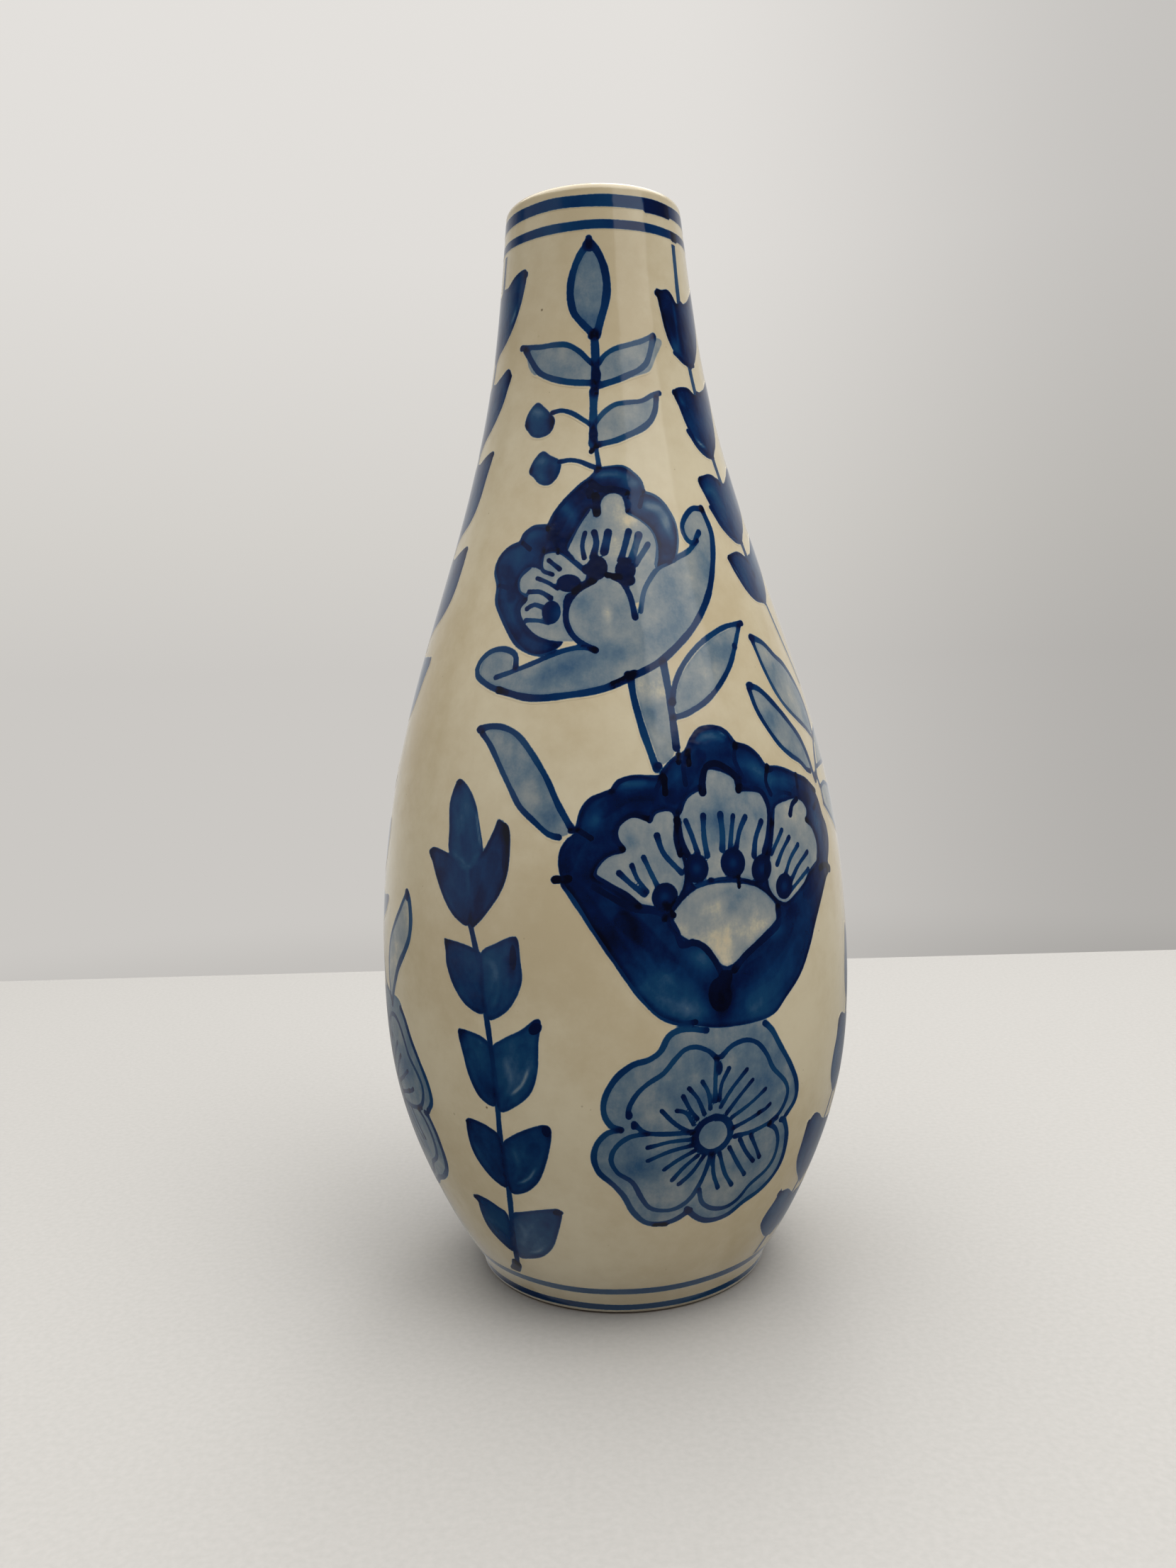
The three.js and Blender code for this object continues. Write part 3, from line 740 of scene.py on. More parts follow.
def top_sprig(p):
    p.wash([(-3, 235.6), (-8, 233), (-12, 229), (-13.2, 225.5), (-11, 221.5), (-6, 219), (-1.5, 217.5),
            (2.5, 220), (5, 223.5), (6.2, 227), (4.5, 231), (1, 234.3)], 0.33)
    p.tint("wash", (0, 220), (4, 2.2), 0.12)
    p.wash([(-2, 210), (-9, 213.4), (-16, 214.6), (-26, 214.9), (-38, 215), (-34, 211.8), (-30, 209.2),
            (-24, 207.6), (-16, 206.6), (-2, 206)], 0.27)
    p.wash([(-39, 214.4), (-36.8, 210.8), (-32, 208.9), (-33, 211.5)], 0.20)
    p.wash([(0, 209.5), (4, 212), (10, 213.3), (18, 214.4), (27, 215.6), (30.5, 216.4), (36, 215.6),
            (31, 212), (26.5, 208.8), (20, 207.6), (12, 206.4), (0, 205.4)], 0.22)
    p.wash([(-1.5, 197), (3, 199.6), (8, 201), (16, 201.4), (25, 202.8), (29, 203.6), (27.5, 200.5),
            (23, 197.4), (16, 195), (8, 193.4), (-0.5, 192.4)], 0.19)
    p.dark([(-35.6, 198), (-34.5, 200.6), (-30, 202.7), (-26, 201.6), (-23, 200.2), (-20, 198.4),
            (-21.5, 195.8), (-26, 194.8), (-30.5, 195.2), (-33.5, 196.6)], 0.62)
    p.tint("dark", (-29, 200.6), (2.4, 0.9), -0.16, -20)
    p.tint("dark", (-34.6, 198), (1.0, 1.4), 0.22)
    p.tint("dark", (-21.5, 197.8), (1.3, 1.8), 0.26)
    p.dark([(-30.4, 187.4), (-28.5, 190), (-24.8, 191.7), (-21, 190.6), (-16.2, 189), (-17, 186),
            (-20.5, 184.1), (-25, 184.6), (-28, 186.2)], 0.60)
    p.tint("dark", (-25, 189.6), (1.6, 0.9), -0.14, -10)
    p.tint("dark", (-29.6, 187.6), (0.8, 1.0), 0.26)
    p.tint("dark", (-20.5, 186.6), (1.2, 2.4), 0.18)
    p.line([(-2.6, 236.6), (-8.3, 233.9), (-12.6, 229.8), (-13.8, 225.8), (-12, 221.8), (-7.4, 219.2),
            (-3.4, 217.4), (-1.6, 216.2)], 1.65, 0.70)
    p.line([(-3, 236.6), (1.2, 235), (5, 231.6), (6.4, 227.2), (5, 223.2), (2.4, 219.8), (0.2, 216.6)],
           1.75, 0.74)
    p.blob((-2.8, 236.0), (1.5, 1.4), 0.82)
    p.line([(-2.8, 236.0), (-2.9, 237.6)], 1.3, 0.80, 0.0)
    p.blob((-1.2, 216.2), (1.4, 1.0), 0.88)
    p.line([(-1.2, 217), (-0.9, 212), (-1.3, 207), (-1.8, 203.6)], 1.8, 0.74)
    p.blob((-0.8, 207.6), (1.1, 2.0), 0.90)
    p.line([(-2, 204), (-2.4, 200), (-2.6, 196), (-2.7, 192.6)], 1.8, 0.58)
    p.blob((-2.6, 194.6), (1.0, 1.9), 0.88)
    p.line([(-3.6, 190.8), (-2.2, 191.6), (-0.4, 192.2)], 1.0, 0.84)
    p.line([(-1.9, 192.6), (-1.1, 189.6), (-0.5, 187)], 1.0, 0.68)
    p.line([(-43, 215.7), (-37, 215.4), (-30, 215), (-22, 215), (-15, 214.6), (-9, 213), (-4.6, 211),
            (-2, 210)], 1.25, 0.66)
    p.line([(-40, 215.1), (-36, 212.6), (-30.5, 209.6), (-24, 207.9), (-17, 206.8), (-10, 206.2),
            (-2.4, 205.9)], 1.4, 0.68)
    p.line([(0.6, 210.2), (4, 212), (9, 213.3), (16, 214.2), (24, 215.3), (31, 216.8)], 1.15, 0.56)
    p.line([(0.4, 205.3), (8, 206.3), (14, 207.4), (21, 208.9), (25.4, 210.7), (28.4, 213.6),
            (30.8, 216.4)], 1.4, 0.60)
    p.line([(-1.8, 197), (2, 199.2), (7, 200.9), (12, 201.4), (20, 201.9), (26, 203.3), (30, 203.9)],
           1.1, 0.58)
    p.line([(-0.8, 192.3), (6, 193), (12, 194.2), (18, 195.6), (23, 197.4), (26.4, 200), (28, 203)],
           1.35, 0.62)
    p.line([(-21.6, 200), (-17, 200.3), (-12, 199.5), (-7, 197.9), (-3, 196.5)], 1.0, 0.64)
    p.line([(-17, 189), (-12, 189.2), (-8, 188.7), (-4, 187.7), (-0.6, 187)], 1.0, 0.66)


def upper_flower(p):
    p.dark([(-13.5, 149), (-20, 147.9), (-26, 150.6), (-31, 155), (-35.3, 159.4), (-36, 163),
            (-38.7, 166.4), (-38, 169.4), (-34.6, 171.2), (-29.8, 172), (-28, 174), (-24, 175.2),
            (-19.4, 175), (-17.6, 177.6), (-14, 180.4), (-9, 183.2), (-4, 185.2), (0, 187), (5, 187.4),
            (9, 187.3), (13, 185.8), (15.8, 183.8), (16.2, 181.7), (20, 180.9), (24, 178.8),
            (26.8, 175), (26.4, 171), (23.6, 166.8), (17, 163), (0, 158), (-10, 152)], 0.78)
    p.tint("dark", (-30, 169), (5, 3.2), -0.16)
    p.tint("dark", (-32, 158), (4, 6), -0.13, 20)
    p.tint("dark", (-25, 173.4), (2.6, 1.3), -0.14)
    p.tint("dark", (-13, 178.6), (1.3, 3.4), -0.22, 35)
    p.tint("dark", (2, 185.6), (3.6, 0.8), -0.20)
    # The next three patches lighten the right-hand lobes: partly a paler wash, partly painted reflection.
    p.tint("dark", (13, 183.8), (2.4, 1.4), -0.30)
    p.tint("dark", (23.2, 175.4), (1.9, 3.6), -0.32, -20)
    p.tint("dark", (19, 178.6), (2.6, 1.2), -0.32)
    p.tint("dark", (-17, 171.4), (4.4, 2.6), 0.12)
    for points, width, change in (([(-18, 173), (-13, 178), (-7, 182)], 2.4, 0.07),
                                  ([(-2, 185.6), (4, 186.2), (10, 185)], 1.4, -0.10),
                                  ([(-34, 159), (-31, 155.6), (-26, 152)], 2.2, 0.07),
                                  ([(-36, 166.4), (-32, 165), (-30, 160)], 2.6, 0.06),
                                  ([(17, 179), (22, 177), (24.6, 172)], 1.6, -0.10),
                                  ([(20, 174), (22, 169)], 2.2, 0.08)):
        p.second_pass(points, width, change)
    p.tint("dark", (4, 182.6), (4.4, 1.2), 0.12)
    p.wash([(-12, 170.4), (-9, 174.2), (-5, 178), (-3.6, 178.2), (-3, 176.6), (-0.8, 176.8), (0, 180),
            (3.4, 181.5), (7.6, 180.8), (8.8, 177.6), (10.4, 177), (14, 175.6), (17.6, 173.4),
            (18.8, 170), (17.6, 166), (15, 163), (10, 158), (5, 160), (0, 163.6), (-6, 165),
            (-10, 168.4)], 0.20)
    p.wash([(-19.4, 169.2), (-15, 169.3), (-10, 167.2), (-5.6, 164.8), (-7, 161.6), (-12, 160),
            (-12.2, 156), (-11, 152.4), (-8, 150.6), (-14, 150.6), (-20.6, 151.8), (-25, 154.2),
            (-27.4, 157), (-26.6, 159.2), (-24.8, 160), (-27.6, 161.6), (-28.4, 164), (-26, 166.2),
            (-22.6, 166.3), (-20.2, 165.6), (-20.6, 167.8)], 0.22)
    p.wash([(-37.6, 144.6), (-36, 148.2), (-31, 149), (-26.8, 148), (-26, 145.2), (-20, 146.6),
            (-12, 148.6), (-4, 149), (-9, 152), (-11, 156), (-9.6, 160), (-5, 162.5), (1, 163.4),
            (5.4, 162), (8.4, 158), (10.6, 156.6), (12.6, 160.6), (16.6, 165), (22, 166.5), (28, 168.2),
            (33, 170), (36.4, 172.8), (32, 171.4), (29.6, 173.6), (31.6, 176.4), (36, 178.4),
            (40.6, 178.2), (42.4, 174), (41.4, 169), (37.6, 163), (31.4, 156.6), (24, 151), (16, 146.6),
            (8, 143.2), (0, 141), (-10, 139.8), (-20, 139.5), (-29, 141), (-35.6, 143)], 0.24)
    p.tint("wash", (-8, 145), (8, 3.4), 0.10, 10)
    p.tint("wash", (-20, 143), (6, 2.2), 0.08)
    p.tint("wash", (36, 165), (2.6, 5), 0.10, -35)
    p.tint("wash", (20, 154), (6, 3), 0.06, 30)
    p.tint("wash", (29.6, 163.6), (2.8, 3.2), -0.13, -35)
    p.tint("wash", (3, 148), (5, 2), 0.08)
    p.tint("wash", (0.6, 156), (1.0, 4.6), -0.09, 6)
    p.tint("wash", (-7, 159), (3.4, 2.4), 0.07)
    p.tint("wash", (6, 154), (3, 3), 0.08)
    p.tint("wash", (12, 176), (6, 3), -0.08)
    p.tint("wash", (-6, 174), (4, 3), 0.06)
    p.line([(-20.6, 175), (-25, 175), (-28.6, 173.6), (-29.6, 171.9), (-34, 171), (-37.8, 168.8),
            (-38.4, 166.2), (-36.2, 163), (-35.4, 159.4), (-31, 154.8), (-26, 150.4), (-20, 148.2),
            (-14.5, 148.6)], 1.1, 0.70, 0.06)
    p.line([(-19.6, 174.4), (-17.6, 177.4), (-13.8, 180.2), (-8.8, 183), (-4, 185), (-0.5, 187)], 1.0,
           0.74)
    p.line([(-1.6, 186.6), (3, 187.1), (9, 187.1), (13, 185.6), (15.4, 183.8), (15.8, 181.8)], 1.0, 0.62)
    p.line([(10, 181), (16, 181.4), (20.4, 180.6), (24, 178.6), (26.4, 175), (26, 171), (23.6, 167)],
           1.2, 0.52, 0.04)
    p.line([(-3.6, 184), (0, 182.6), (5, 182.4), (9.6, 181.6)], 1.6, 0.88, 0.0)
    p.blob((-4.4, 181.8), (1.0, 1.5), 0.92)
    p.line([(-2, 181), (-1.8, 177.4)], 1.7, 0.88)
    p.line([(10.2, 181.4), (9.6, 177.6)], 1.2, 0.78)
    p.line([(9.8, 177.4), (13.6, 176), (17.6, 173.6), (18.8, 170.2), (17.4, 166)], 1.0, 0.50, 0.0)
    p.line([(-12.6, 169.8), (-9, 174.4), (-5, 178.2)], 1.0, 0.80, 0.0)
    p.line([(-20, 169.6), (-14.8, 169.6), (-10, 167.4), (-6.4, 165.4), (-4, 164)], 1.1, 0.76)
    p.line([(-20.4, 170.4), (-20.4, 166), (-16.4, 164.6)], 0.9, 0.72)
    p.line([(-24.6, 166.6), (-28.2, 164.2), (-27.6, 161.4), (-24.8, 160.3)], 0.9, 0.66, 0.0)
    p.line([(-25, 159.6), (-27, 157.6), (-25, 154.4), (-20.6, 151.6), (-14, 149.6)], 1.2, 0.78)
    for points in ([(-19.6, 174.8), (-17, 172), (-15, 169.4)], [(-29, 172), (-25.6, 170.4)],
                   [(-36, 163), (-32, 162.4)], [(16, 181.8), (14, 178.6)]):
        p.line(points, 1.1, 0.86, 0.0)
    p.line([(-18.2, 167.7), (-14.2, 165.7)], 1.0, 0.78)
    p.line([(-21.6, 164), (-18, 163), (-14.4, 161.6)], 0.9, 0.74)
    p.line([(-24, 161.2), (-20, 161), (-16.4, 159.6)], 1.0, 0.68)
    p.line([(-24, 157.6), (-21.6, 158.4), (-17.6, 157.4)], 1.0, 0.68)
    p.line([(-24, 155.2), (-20, 155), (-16.6, 154.4)], 0.9, 0.62)
    p.blob((-11, 162.6), (2.7, 1.9), 0.88, -6)
    p.blob((-16, 156.6), (2.1, 2.5), 0.84, 10)
    p.tint("ink", (-13.6, 156.4), (1.4, 2.0), -0.14)
    p.line([(-9, 160.8), (-6, 162.2), (-3.4, 163)], 1.5, 0.86)
    p.line([(-3, 163), (-8, 161), (-11, 158.4), (-11.4, 155), (-9.4, 151.8), (-6, 149.6), (-2.8, 148.4)],
           1.35, 0.82)
    p.line([(-31.4, 143.4), (-26, 144.6), (-20, 146.2), (-14, 148), (-8, 149), (-3, 148.6)], 1.1, 0.66)
    p.line([(-25.4, 145.2), (-26, 148), (-30, 149.3), (-34.6, 148.8), (-38, 146.6), (-38, 144),
            (-33, 141.6), (-27.4, 140.2)], 1.25, 0.66)
    p.line([(-30, 140.8), (-20, 139), (-10, 139.4), (-2, 140.3), (3, 141.6), (8, 143.2), (14, 145.4),
            (20, 148.7), (27, 153.3), (34, 159.5), (39, 166), (42, 171.4), (42.4, 174.4), (40.6, 178.6)],
           1.5, 0.74)
    p.line([(1.6, 141.2), (6.6, 143)], 1.5, 0.92)
    p.line([(40.8, 178.4), (36, 178.4), (31.6, 176.4), (29.4, 173.9), (30.6, 171.4), (33, 170.8),
            (34.6, 172), (36.4, 173.2)], 1.2, 0.68)
    p.line([(34.6, 171.4), (31, 169.4), (27.6, 168.2), (22, 166.7)], 1.2, 0.64)
    p.line([(22, 166.6), (17.4, 165), (14.2, 162.6), (12, 160), (10.6, 156.2)], 1.1, 0.56)
    p.line([(3, 163.6), (5.6, 162.4), (7.8, 159.4), (8.8, 155)], 1.25, 0.82)
    p.line([(-6, 173.2), (-6.9, 170.6), (-6.2, 167.9)], 1.0, 0.70)
    p.line([(-2.8, 173.2), (-2.1, 171), (-3, 168.6)], 1.4, 0.76)
    p.line([(2, 173.1), (0.4, 169)], 1.6, 0.74)
    p.line([(9.1, 173.2), (5.7, 167)], 1.4, 0.68)
    p.line([(12.5, 172.4), (9.4, 167.4)], 1.5, 0.56)
    p.line([(15.4, 170.4), (10.4, 166.2)], 1.2, 0.54)
    p.blob((-2, 165.6), (2.2, 2.6), 0.92)
    p.blob((-5, 165.4), (1.3, 1.2), 0.92)
    p.blob((-3, 168), (1.0, 0.8), 0.92)
    p.blob((7, 165), (2.2, 2.2), 0.90)
    p.blob((7.4, 162.8), (1.7, 1.3), 0.93)
    p.blob((7, 167), (1.5, 0.7), 0.93)
    p.line([(1.2, 164), (5, 163.6)], 1.2, 0.88)


def leafy_stem(p):
    p.wash([(7.6, 142.6), (15.2, 144.8), (16, 138), (16, 128), (13.6, 125.2), (11.8, 125), (10.6, 128.4),
            (8.8, 134), (7.6, 139)], 0.17)
    p.tint("wash", (10.6, 134.6), (2.4, 2.6), 0.12)
    p.tint("wash", (13.6, 127), (1.6, 2.4), 0.10)
    p.wash([(17, 135.4), (19, 141.4), (24, 146.2), (31, 150), (38, 152), (43.6, 152.9), (40, 149.4),
            (36, 145), (31, 141), (25, 137.2), (20, 135.2)], 0.21)
    p.tint("wash", (34, 147), (4, 2.6), 0.13, 20)
    p.tint("wash", (21, 138), (2.4, 2.4), 0.05)
    p.line([(6.2, 142.8), (6.7, 138.6), (8.2, 132.6), (10, 127), (11, 124)], 1.5, 0.68)
    p.line([(5.4, 143.2), (7.4, 143.4)], 1.4, 0.86)
    p.blob((11.4, 124.6), (0.9, 0.8), 0.86)
    p.line([(15.4, 145.6), (15.8, 141), (16.1, 135), (16.3, 128)], 1.55, 0.68)
    p.line([(16.6, 137.2), (18, 141), (21, 144.8), (26, 148.4), (32, 151), (38, 152.7), (45, 153.4)],
           1.15, 0.66)
    p.line([(16, 134.1), (20, 134.8), (26, 137.2), (31, 140.4), (36, 144.5), (40, 149), (43.4, 152.8)],
           1.2, 0.70)
    p.blob((16.6, 137.3), (0.9, 0.9), 0.88)
    p.blob((39.4, 148.4), (0.8, 0.8), 0.80)


def side_leaf(p):
    p.wash([(-33.4, 132.4), (-27, 132.6), (-23, 131.2), (-19.6, 128.2), (-15, 122.8), (-12, 117.2),
            (-9.2, 112.4), (-10.8, 111), (-14, 111.8), (-18, 114.6), (-21.4, 117.4), (-24, 121),
            (-27, 125.4), (-30.6, 129.8)], 0.27)
    p.tint("wash", (-14, 115), (2.6, 3.4), 0.09)
    p.line([(-34.2, 132.6), (-31, 133.2), (-27, 133), (-23, 131.5), (-19.4, 128.4), (-15, 123),
            (-12, 117.6), (-9, 112.9)], 1.35, 0.66)
    p.line([(-33.4, 132), (-30, 129), (-26, 123.8), (-23, 119.6), (-21, 116.9), (-17.5, 114.1),
            (-14, 111.5), (-11.6, 110.9)], 1.25, 0.68)
    p.blob((-34.3, 132.6), (0.8, 0.7), 0.84)


def large_flower(p):
    p.dark([(-11.7, 105), (-11.4, 108.2), (-9.8, 110.6), (-7.8, 112), (-6.9, 115.4), (-5, 118),
            (-1.8, 119.4), (0.3, 119.8), (1.8, 121.6), (4.4, 122.8), (8, 122.7), (11.5, 122.5),
            (14.4, 125.4), (17, 126.8), (19.2, 127.4), (20.6, 130), (23.2, 131.9), (27, 132.1),
            (30, 131), (32.4, 128.2), (35.6, 127.5), (38.8, 125.6), (41, 122.9), (46, 122.4),
            (52, 120.5), (57, 118.9), (60.4, 116.6), (62.3, 113.8), (63.2, 110.6), (64.8, 108),
            (65, 105), (63.4, 102), (62, 100.2), (62.4, 98), (60, 97), (56, 93), (52.2, 88.4),
            (49, 83.4), (45, 78.2), (40, 74.2), (36, 71.2), (30, 70.4), (22, 70.6), (16, 71.8),
            (12, 72.8), (8, 75), (4, 80), (0, 86), (-4, 92), (-8, 98.4), (-10.6, 101.6)], 0.79)
    p.tint("dark", (9, 81), (3.6, 6), -0.20, 25)
    p.tint("dark", (16, 75), (5, 2.4), -0.24, -20)
    p.tint("dark", (18.6, 85), (2.8, 2.2), -0.22, -25)
    p.tint("dark", (36, 80), (9, 6), -0.13, 35)
    p.tint("dark", (30, 73), (6, 2.4), -0.12)
    p.tint("dark", (38, 89), (2.4, 1.6), -0.14)
    p.tint("dark", (37, 122), (5, 2.4), -0.18, -25)
    p.tint("dark", (45, 119), (4.5, 1.6), -0.14, -12)
    p.tint("dark", (59, 108), (2.2, 7), -0.16, 8)
    p.tint("dark", (24.5, 130), (3.6, 1.1), -0.14)
    p.tint("dark", (6, 121), (4.4, 1.0), -0.12)
    p.tint("dark", (-3.6, 114), (1.2, 4), -0.10, -30)
    p.tint("dark", (4, 92), (1.6, 9), 0.10, 20)
    p.tint("dark", (-6, 103), (3, 3), 0.12)
    p.tint("dark", (22.6, 76.4), (3.2, 4.4), 0.22)
    p.tint("dark", (62, 98), (2, 2), 0.14)
    p.tint("dark", (26, 126), (5, 1.6), 0.08)
    p.tint("dark", (8, 117.6), (5, 1.6), 0.08)
    p.wash([(-4, 103.3), (-2, 106.3), (2, 107.9), (2.8, 108.6), (1, 110.6), (1.6, 113), (4.6, 114.9),
            (7.4, 114.6), (8.8, 113.9), (10, 115.4), (13, 115.7), (14.6, 114.2), (14, 110), (15, 106.8),
            (15.6, 104), (15, 100), (12, 96.6), (8, 96.8), (4, 98), (1, 100), (-2, 101.8)], 0.20)
    p.wash([(15.4, 112.6), (16.2, 116.2), (18.4, 118.6), (20.6, 119.2), (22, 119.8), (22.8, 122.4),
            (24, 123.2), (27, 122.6), (30.2, 121), (30.6, 118.9), (34, 118.3), (37.4, 117.4), (39, 115.4),
            (39, 111.6), (37.6, 108), (36, 104), (34.6, 99.8), (29, 100.6), (22, 100.8), (18, 100),
            (16.6, 104), (16, 108)], 0.21)
    p.wash([(40.4, 112), (42, 114.4), (46.6, 115.2), (50, 115.3), (53, 114.2), (54.4, 112), (53.4, 110.2),
            (55.8, 108), (57, 105), (56.2, 102), (54, 100.2), (51, 99.2), (48.6, 97.4), (45, 95.6),
            (41.4, 94.2), (38.4, 95.6), (36.6, 98.4), (37, 101.6), (38.4, 105.4), (39.4, 109)], 0.19)
    p.wash([(12, 93.8), (14.6, 97.1), (18, 99.4), (22, 100.2), (27, 100.2), (31, 99.3), (35, 97.2),
            (38.6, 93.8), (38, 91.2), (34, 88.7), (29, 85.7), (25.6, 83.4), (23.2, 83.4), (21.4, 85.8),
            (19, 88), (15.4, 89.6), (13.2, 91.4)], 0.16)
    p.tint("wash", (24, 112), (3.6, 5), 0.20)
    p.tint("wash", (36, 113), (2.6, 3), 0.08)
    p.tint("wash", (23, 98), (3.6, 1.6), 0.12, 8)
    p.tint("wash", (26.6, 95.4), (1.6, 2.6), 0.12, -30)
    p.tint("wash", (29, 92.4), (1.2, 3.4), 0.07, -40)
    p.tint("wash", (30, 97.6), (2.6, 1.6), 0.08)
    p.tint("wash", (4, 111), (3, 2.6), 0.08)
    p.tint("wash", (47, 108), (3, 2.4), 0.08)
    p.tint("wash", (30, 90), (4.4, 3), -0.05)
    p.line([(-9, 112.2), (-7.4, 112.6), (-6.4, 116), (-4.4, 118.2), (-1, 119.4), (0.6, 120), (2, 121.6),
            (5, 122.4), (9, 122.3), (12, 122.2)], 1.1, 0.82)
    p.line([(12.4, 123), (15, 125.4), (18.6, 127), (20.6, 129.6), (23, 131.4), (27, 131.7), (30, 130.6),
            (32.4, 127.8)], 1.15, 0.80)
    p.line([(32.6, 127.8), (36, 127.1), (39, 125), (41.2, 122.6), (46, 122), (52, 120.2), (57, 118.6),
            (61, 116)], 1.15, 0.80)
    p.blob((32.4, 127.6), (1.1, 0.8), 0.92)
    p.blob((42, 122.2), (1.5, 0.8), 0.90)
    p.blob((-12.3, 102.4), (1.0, 0.7), 0.95)
    p.line([(-12.4, 102.4), (-9.4, 102.6)], 1.5, 0.95)
    p.line([(62.4, 98.4), (60, 99.6), (57, 99.4)], 1.5, 0.95)
    p.line([(12.6, 122), (12.6, 119)], 1.4, 0.92)
    p.line([(19, 127), (19, 124.6)], 1.2, 0.92)
    p.line([(16.6, 126.6), (16.4, 125)], 1.1, 0.90)
    p.line([(-10.4, 101.4), (-4, 92), (0, 86), (4.6, 79.2), (9.6, 74), (14, 72.4), (16.6, 72.4)], 1.3,
           0.74)
    petal_edges = [
        ([(2.4, 108.2), (-1.6, 107), (-4, 103.6), (-1, 101.4), (3, 99), (5.4, 96.8)], 1.2, 0.86),
        ([(2.4, 108.4), (1, 110.4), (1.4, 113), (4.6, 115), (8, 114.2)], 1.1, 0.88),
        ([(8.6, 113.8), (9.8, 115.6), (13.2, 116), (14.8, 114.4), (14.2, 110), (15, 106.6)], 1.2, 0.86),
        ([(15.4, 115.2), (17.4, 118.2), (20.6, 119.7)], 1.2, 0.84),
        ([(21.6, 118.8), (21.8, 121), (23.2, 123.8), (26, 124.4), (29, 123), (31.6, 120.6),
          (31.2, 118.7)], 1.6, 0.92),
        ([(31.4, 119), (35, 118.7), (38, 117.8), (39.4, 115), (39.2, 112), (38, 108.6), (36.4, 105.4)],
         1.4, 0.84),
        ([(14.8, 113.6), (15.4, 109.4), (16.6, 106.4)], 1.4, 0.84),
        ([(40, 111), (41.6, 115.4), (44.6, 117), (48.4, 116.4)], 1.1, 0.78),
        ([(53.4, 110.4), (56, 108.4), (57.2, 105), (56.2, 101.4)], 1.2, 0.84),
        ([(53.6, 110.2), (54.8, 112.6), (53.6, 114.6)], 1.0, 0.80),
        ([(50.6, 115.2), (48.2, 114.2), (46.8, 112.2)], 1.2, 0.84),
        ([(40, 111.4), (38.6, 107), (37.2, 104.6)], 1.2, 0.82),
        ([(56.4, 101), (52, 99.4), (49, 97)], 1.0, 0.74),
    ]
    for points, width, load in petal_edges:
        p.line(points, width, load, 0.08)
    filaments = [
        ([(1.4, 103.6), (4, 101.2), (6.6, 99.2)], 1.2), ([(4.2, 105), (5.2, 102.4), (7.2, 99.6)], 1.0),
        ([(6.8, 106.5), (8.2, 103.4), (9.6, 100.4)], 1.1), ([(10, 110.7), (11, 107.5), (13, 105),
                                                             (15, 103)], 1.2),
        ([(16.8, 113.3), (18, 110), (19, 106.5)], 1.1), ([(21.1, 114), (20.8, 110), (21.2, 106)], 1.3),
        ([(25.4, 114), (25.4, 110), (25, 107)], 1.5), ([(28.7, 113.5), (27.7, 110), (27, 107)], 1.1),
        ([(32, 113), (30, 110.4), (28.6, 107)], 1.2), ([(36.5, 111.7), (34.2, 108.4), (33.2, 105)], 1.3),
        ([(42.8, 109.3), (38.4, 104.8)], 1.1), ([(45, 107.5), (42, 105), (39.8, 102.4)], 1.1),
        ([(48, 105.6), (44.4, 103), (42.2, 100)], 1.1), ([(51.5, 103.6), (47, 101.2), (43.8, 98.4)], 1.1),
        ([(51, 100), (46.6, 98), (43, 96.2)], 1.0),
    ]
    for points, width in filaments:
        p.line(points, width, 0.66)
    stamens = [((11, 98.4), (2.7, 2.9), -25), ((18.4, 103.6), (2.7, 3.0), 0),
               ((27.4, 104), (3.0, 3.1), 0), ((35, 102), (2.7, 3.1), -30),
               ((41.4, 97.6), (2.6, 2.8), -30)]
    for centre, size, tilt in stamens:
        p.blob(centre, size, 0.90, tilt)
        p.tint("ink", centre, (1.1, 1.2), -0.16)
    p.line([(10.6, 93.9), (13.4, 97.2), (18, 100), (24, 100.8), (30, 100), (35, 97.9), (39, 94.2)],
           1.2, 0.76)
    p.blob((21.6, 101), (0.8, 0.6), 0.92)
    p.line([(28.4, 101), (28.4, 99)], 0.9, 0.92)
    p.line([(-4, 101), (0, 98.6), (4.6, 96.2), (8, 95.8), (11, 94.4), (13, 91.4), (14.2, 88.4),
            (16.4, 88.8), (18.8, 87.8), (21, 85.2), (23.6, 80.4)], 1.5, 0.88, 0.0)
    passes = [
        ([(-9, 100), (-4, 94), (0, 88), (4, 83)], 5.0, 0.07), ([(2, 94), (7, 90), (11, 85)], 4.0, 0.08),
        ([(2.6, 84), (8, 78), (14, 74.6)], 2.6, -0.06), ([(11, 84), (16, 79), (20, 75)], 3.4, -0.05),
        ([(28, 80), (36, 84), (44, 92)], 4.0, 0.05), ([(30, 74.6), (38, 78), (45, 85)], 3.6, -0.05),
        ([(50, 96), (56, 100), (60, 106)], 5.0, 0.06), ([(-9.6, 105), (-8, 109), (-5, 112)], 2.4, 0.07),
        ([(-2, 116), (3, 118.6), (9, 119)], 3.0, 0.07), ([(14, 118), (18, 121.6), (22, 126)], 3.0, 0.07),
        ([(31, 122), (35, 121), (39, 119.4)], 3.0, 0.08),
        ([(43, 118.6), (50, 117.4), (56, 114.6)], 2.4, 0.08),
        ([(22, 129.4), (25.6, 130.2), (29, 129)], 1.0, -0.10), ([(3, 121.4), (8, 121.4)], 0.8, -0.10),
    ]
    for points, width, change in passes:
        p.second_pass(points, width, change)
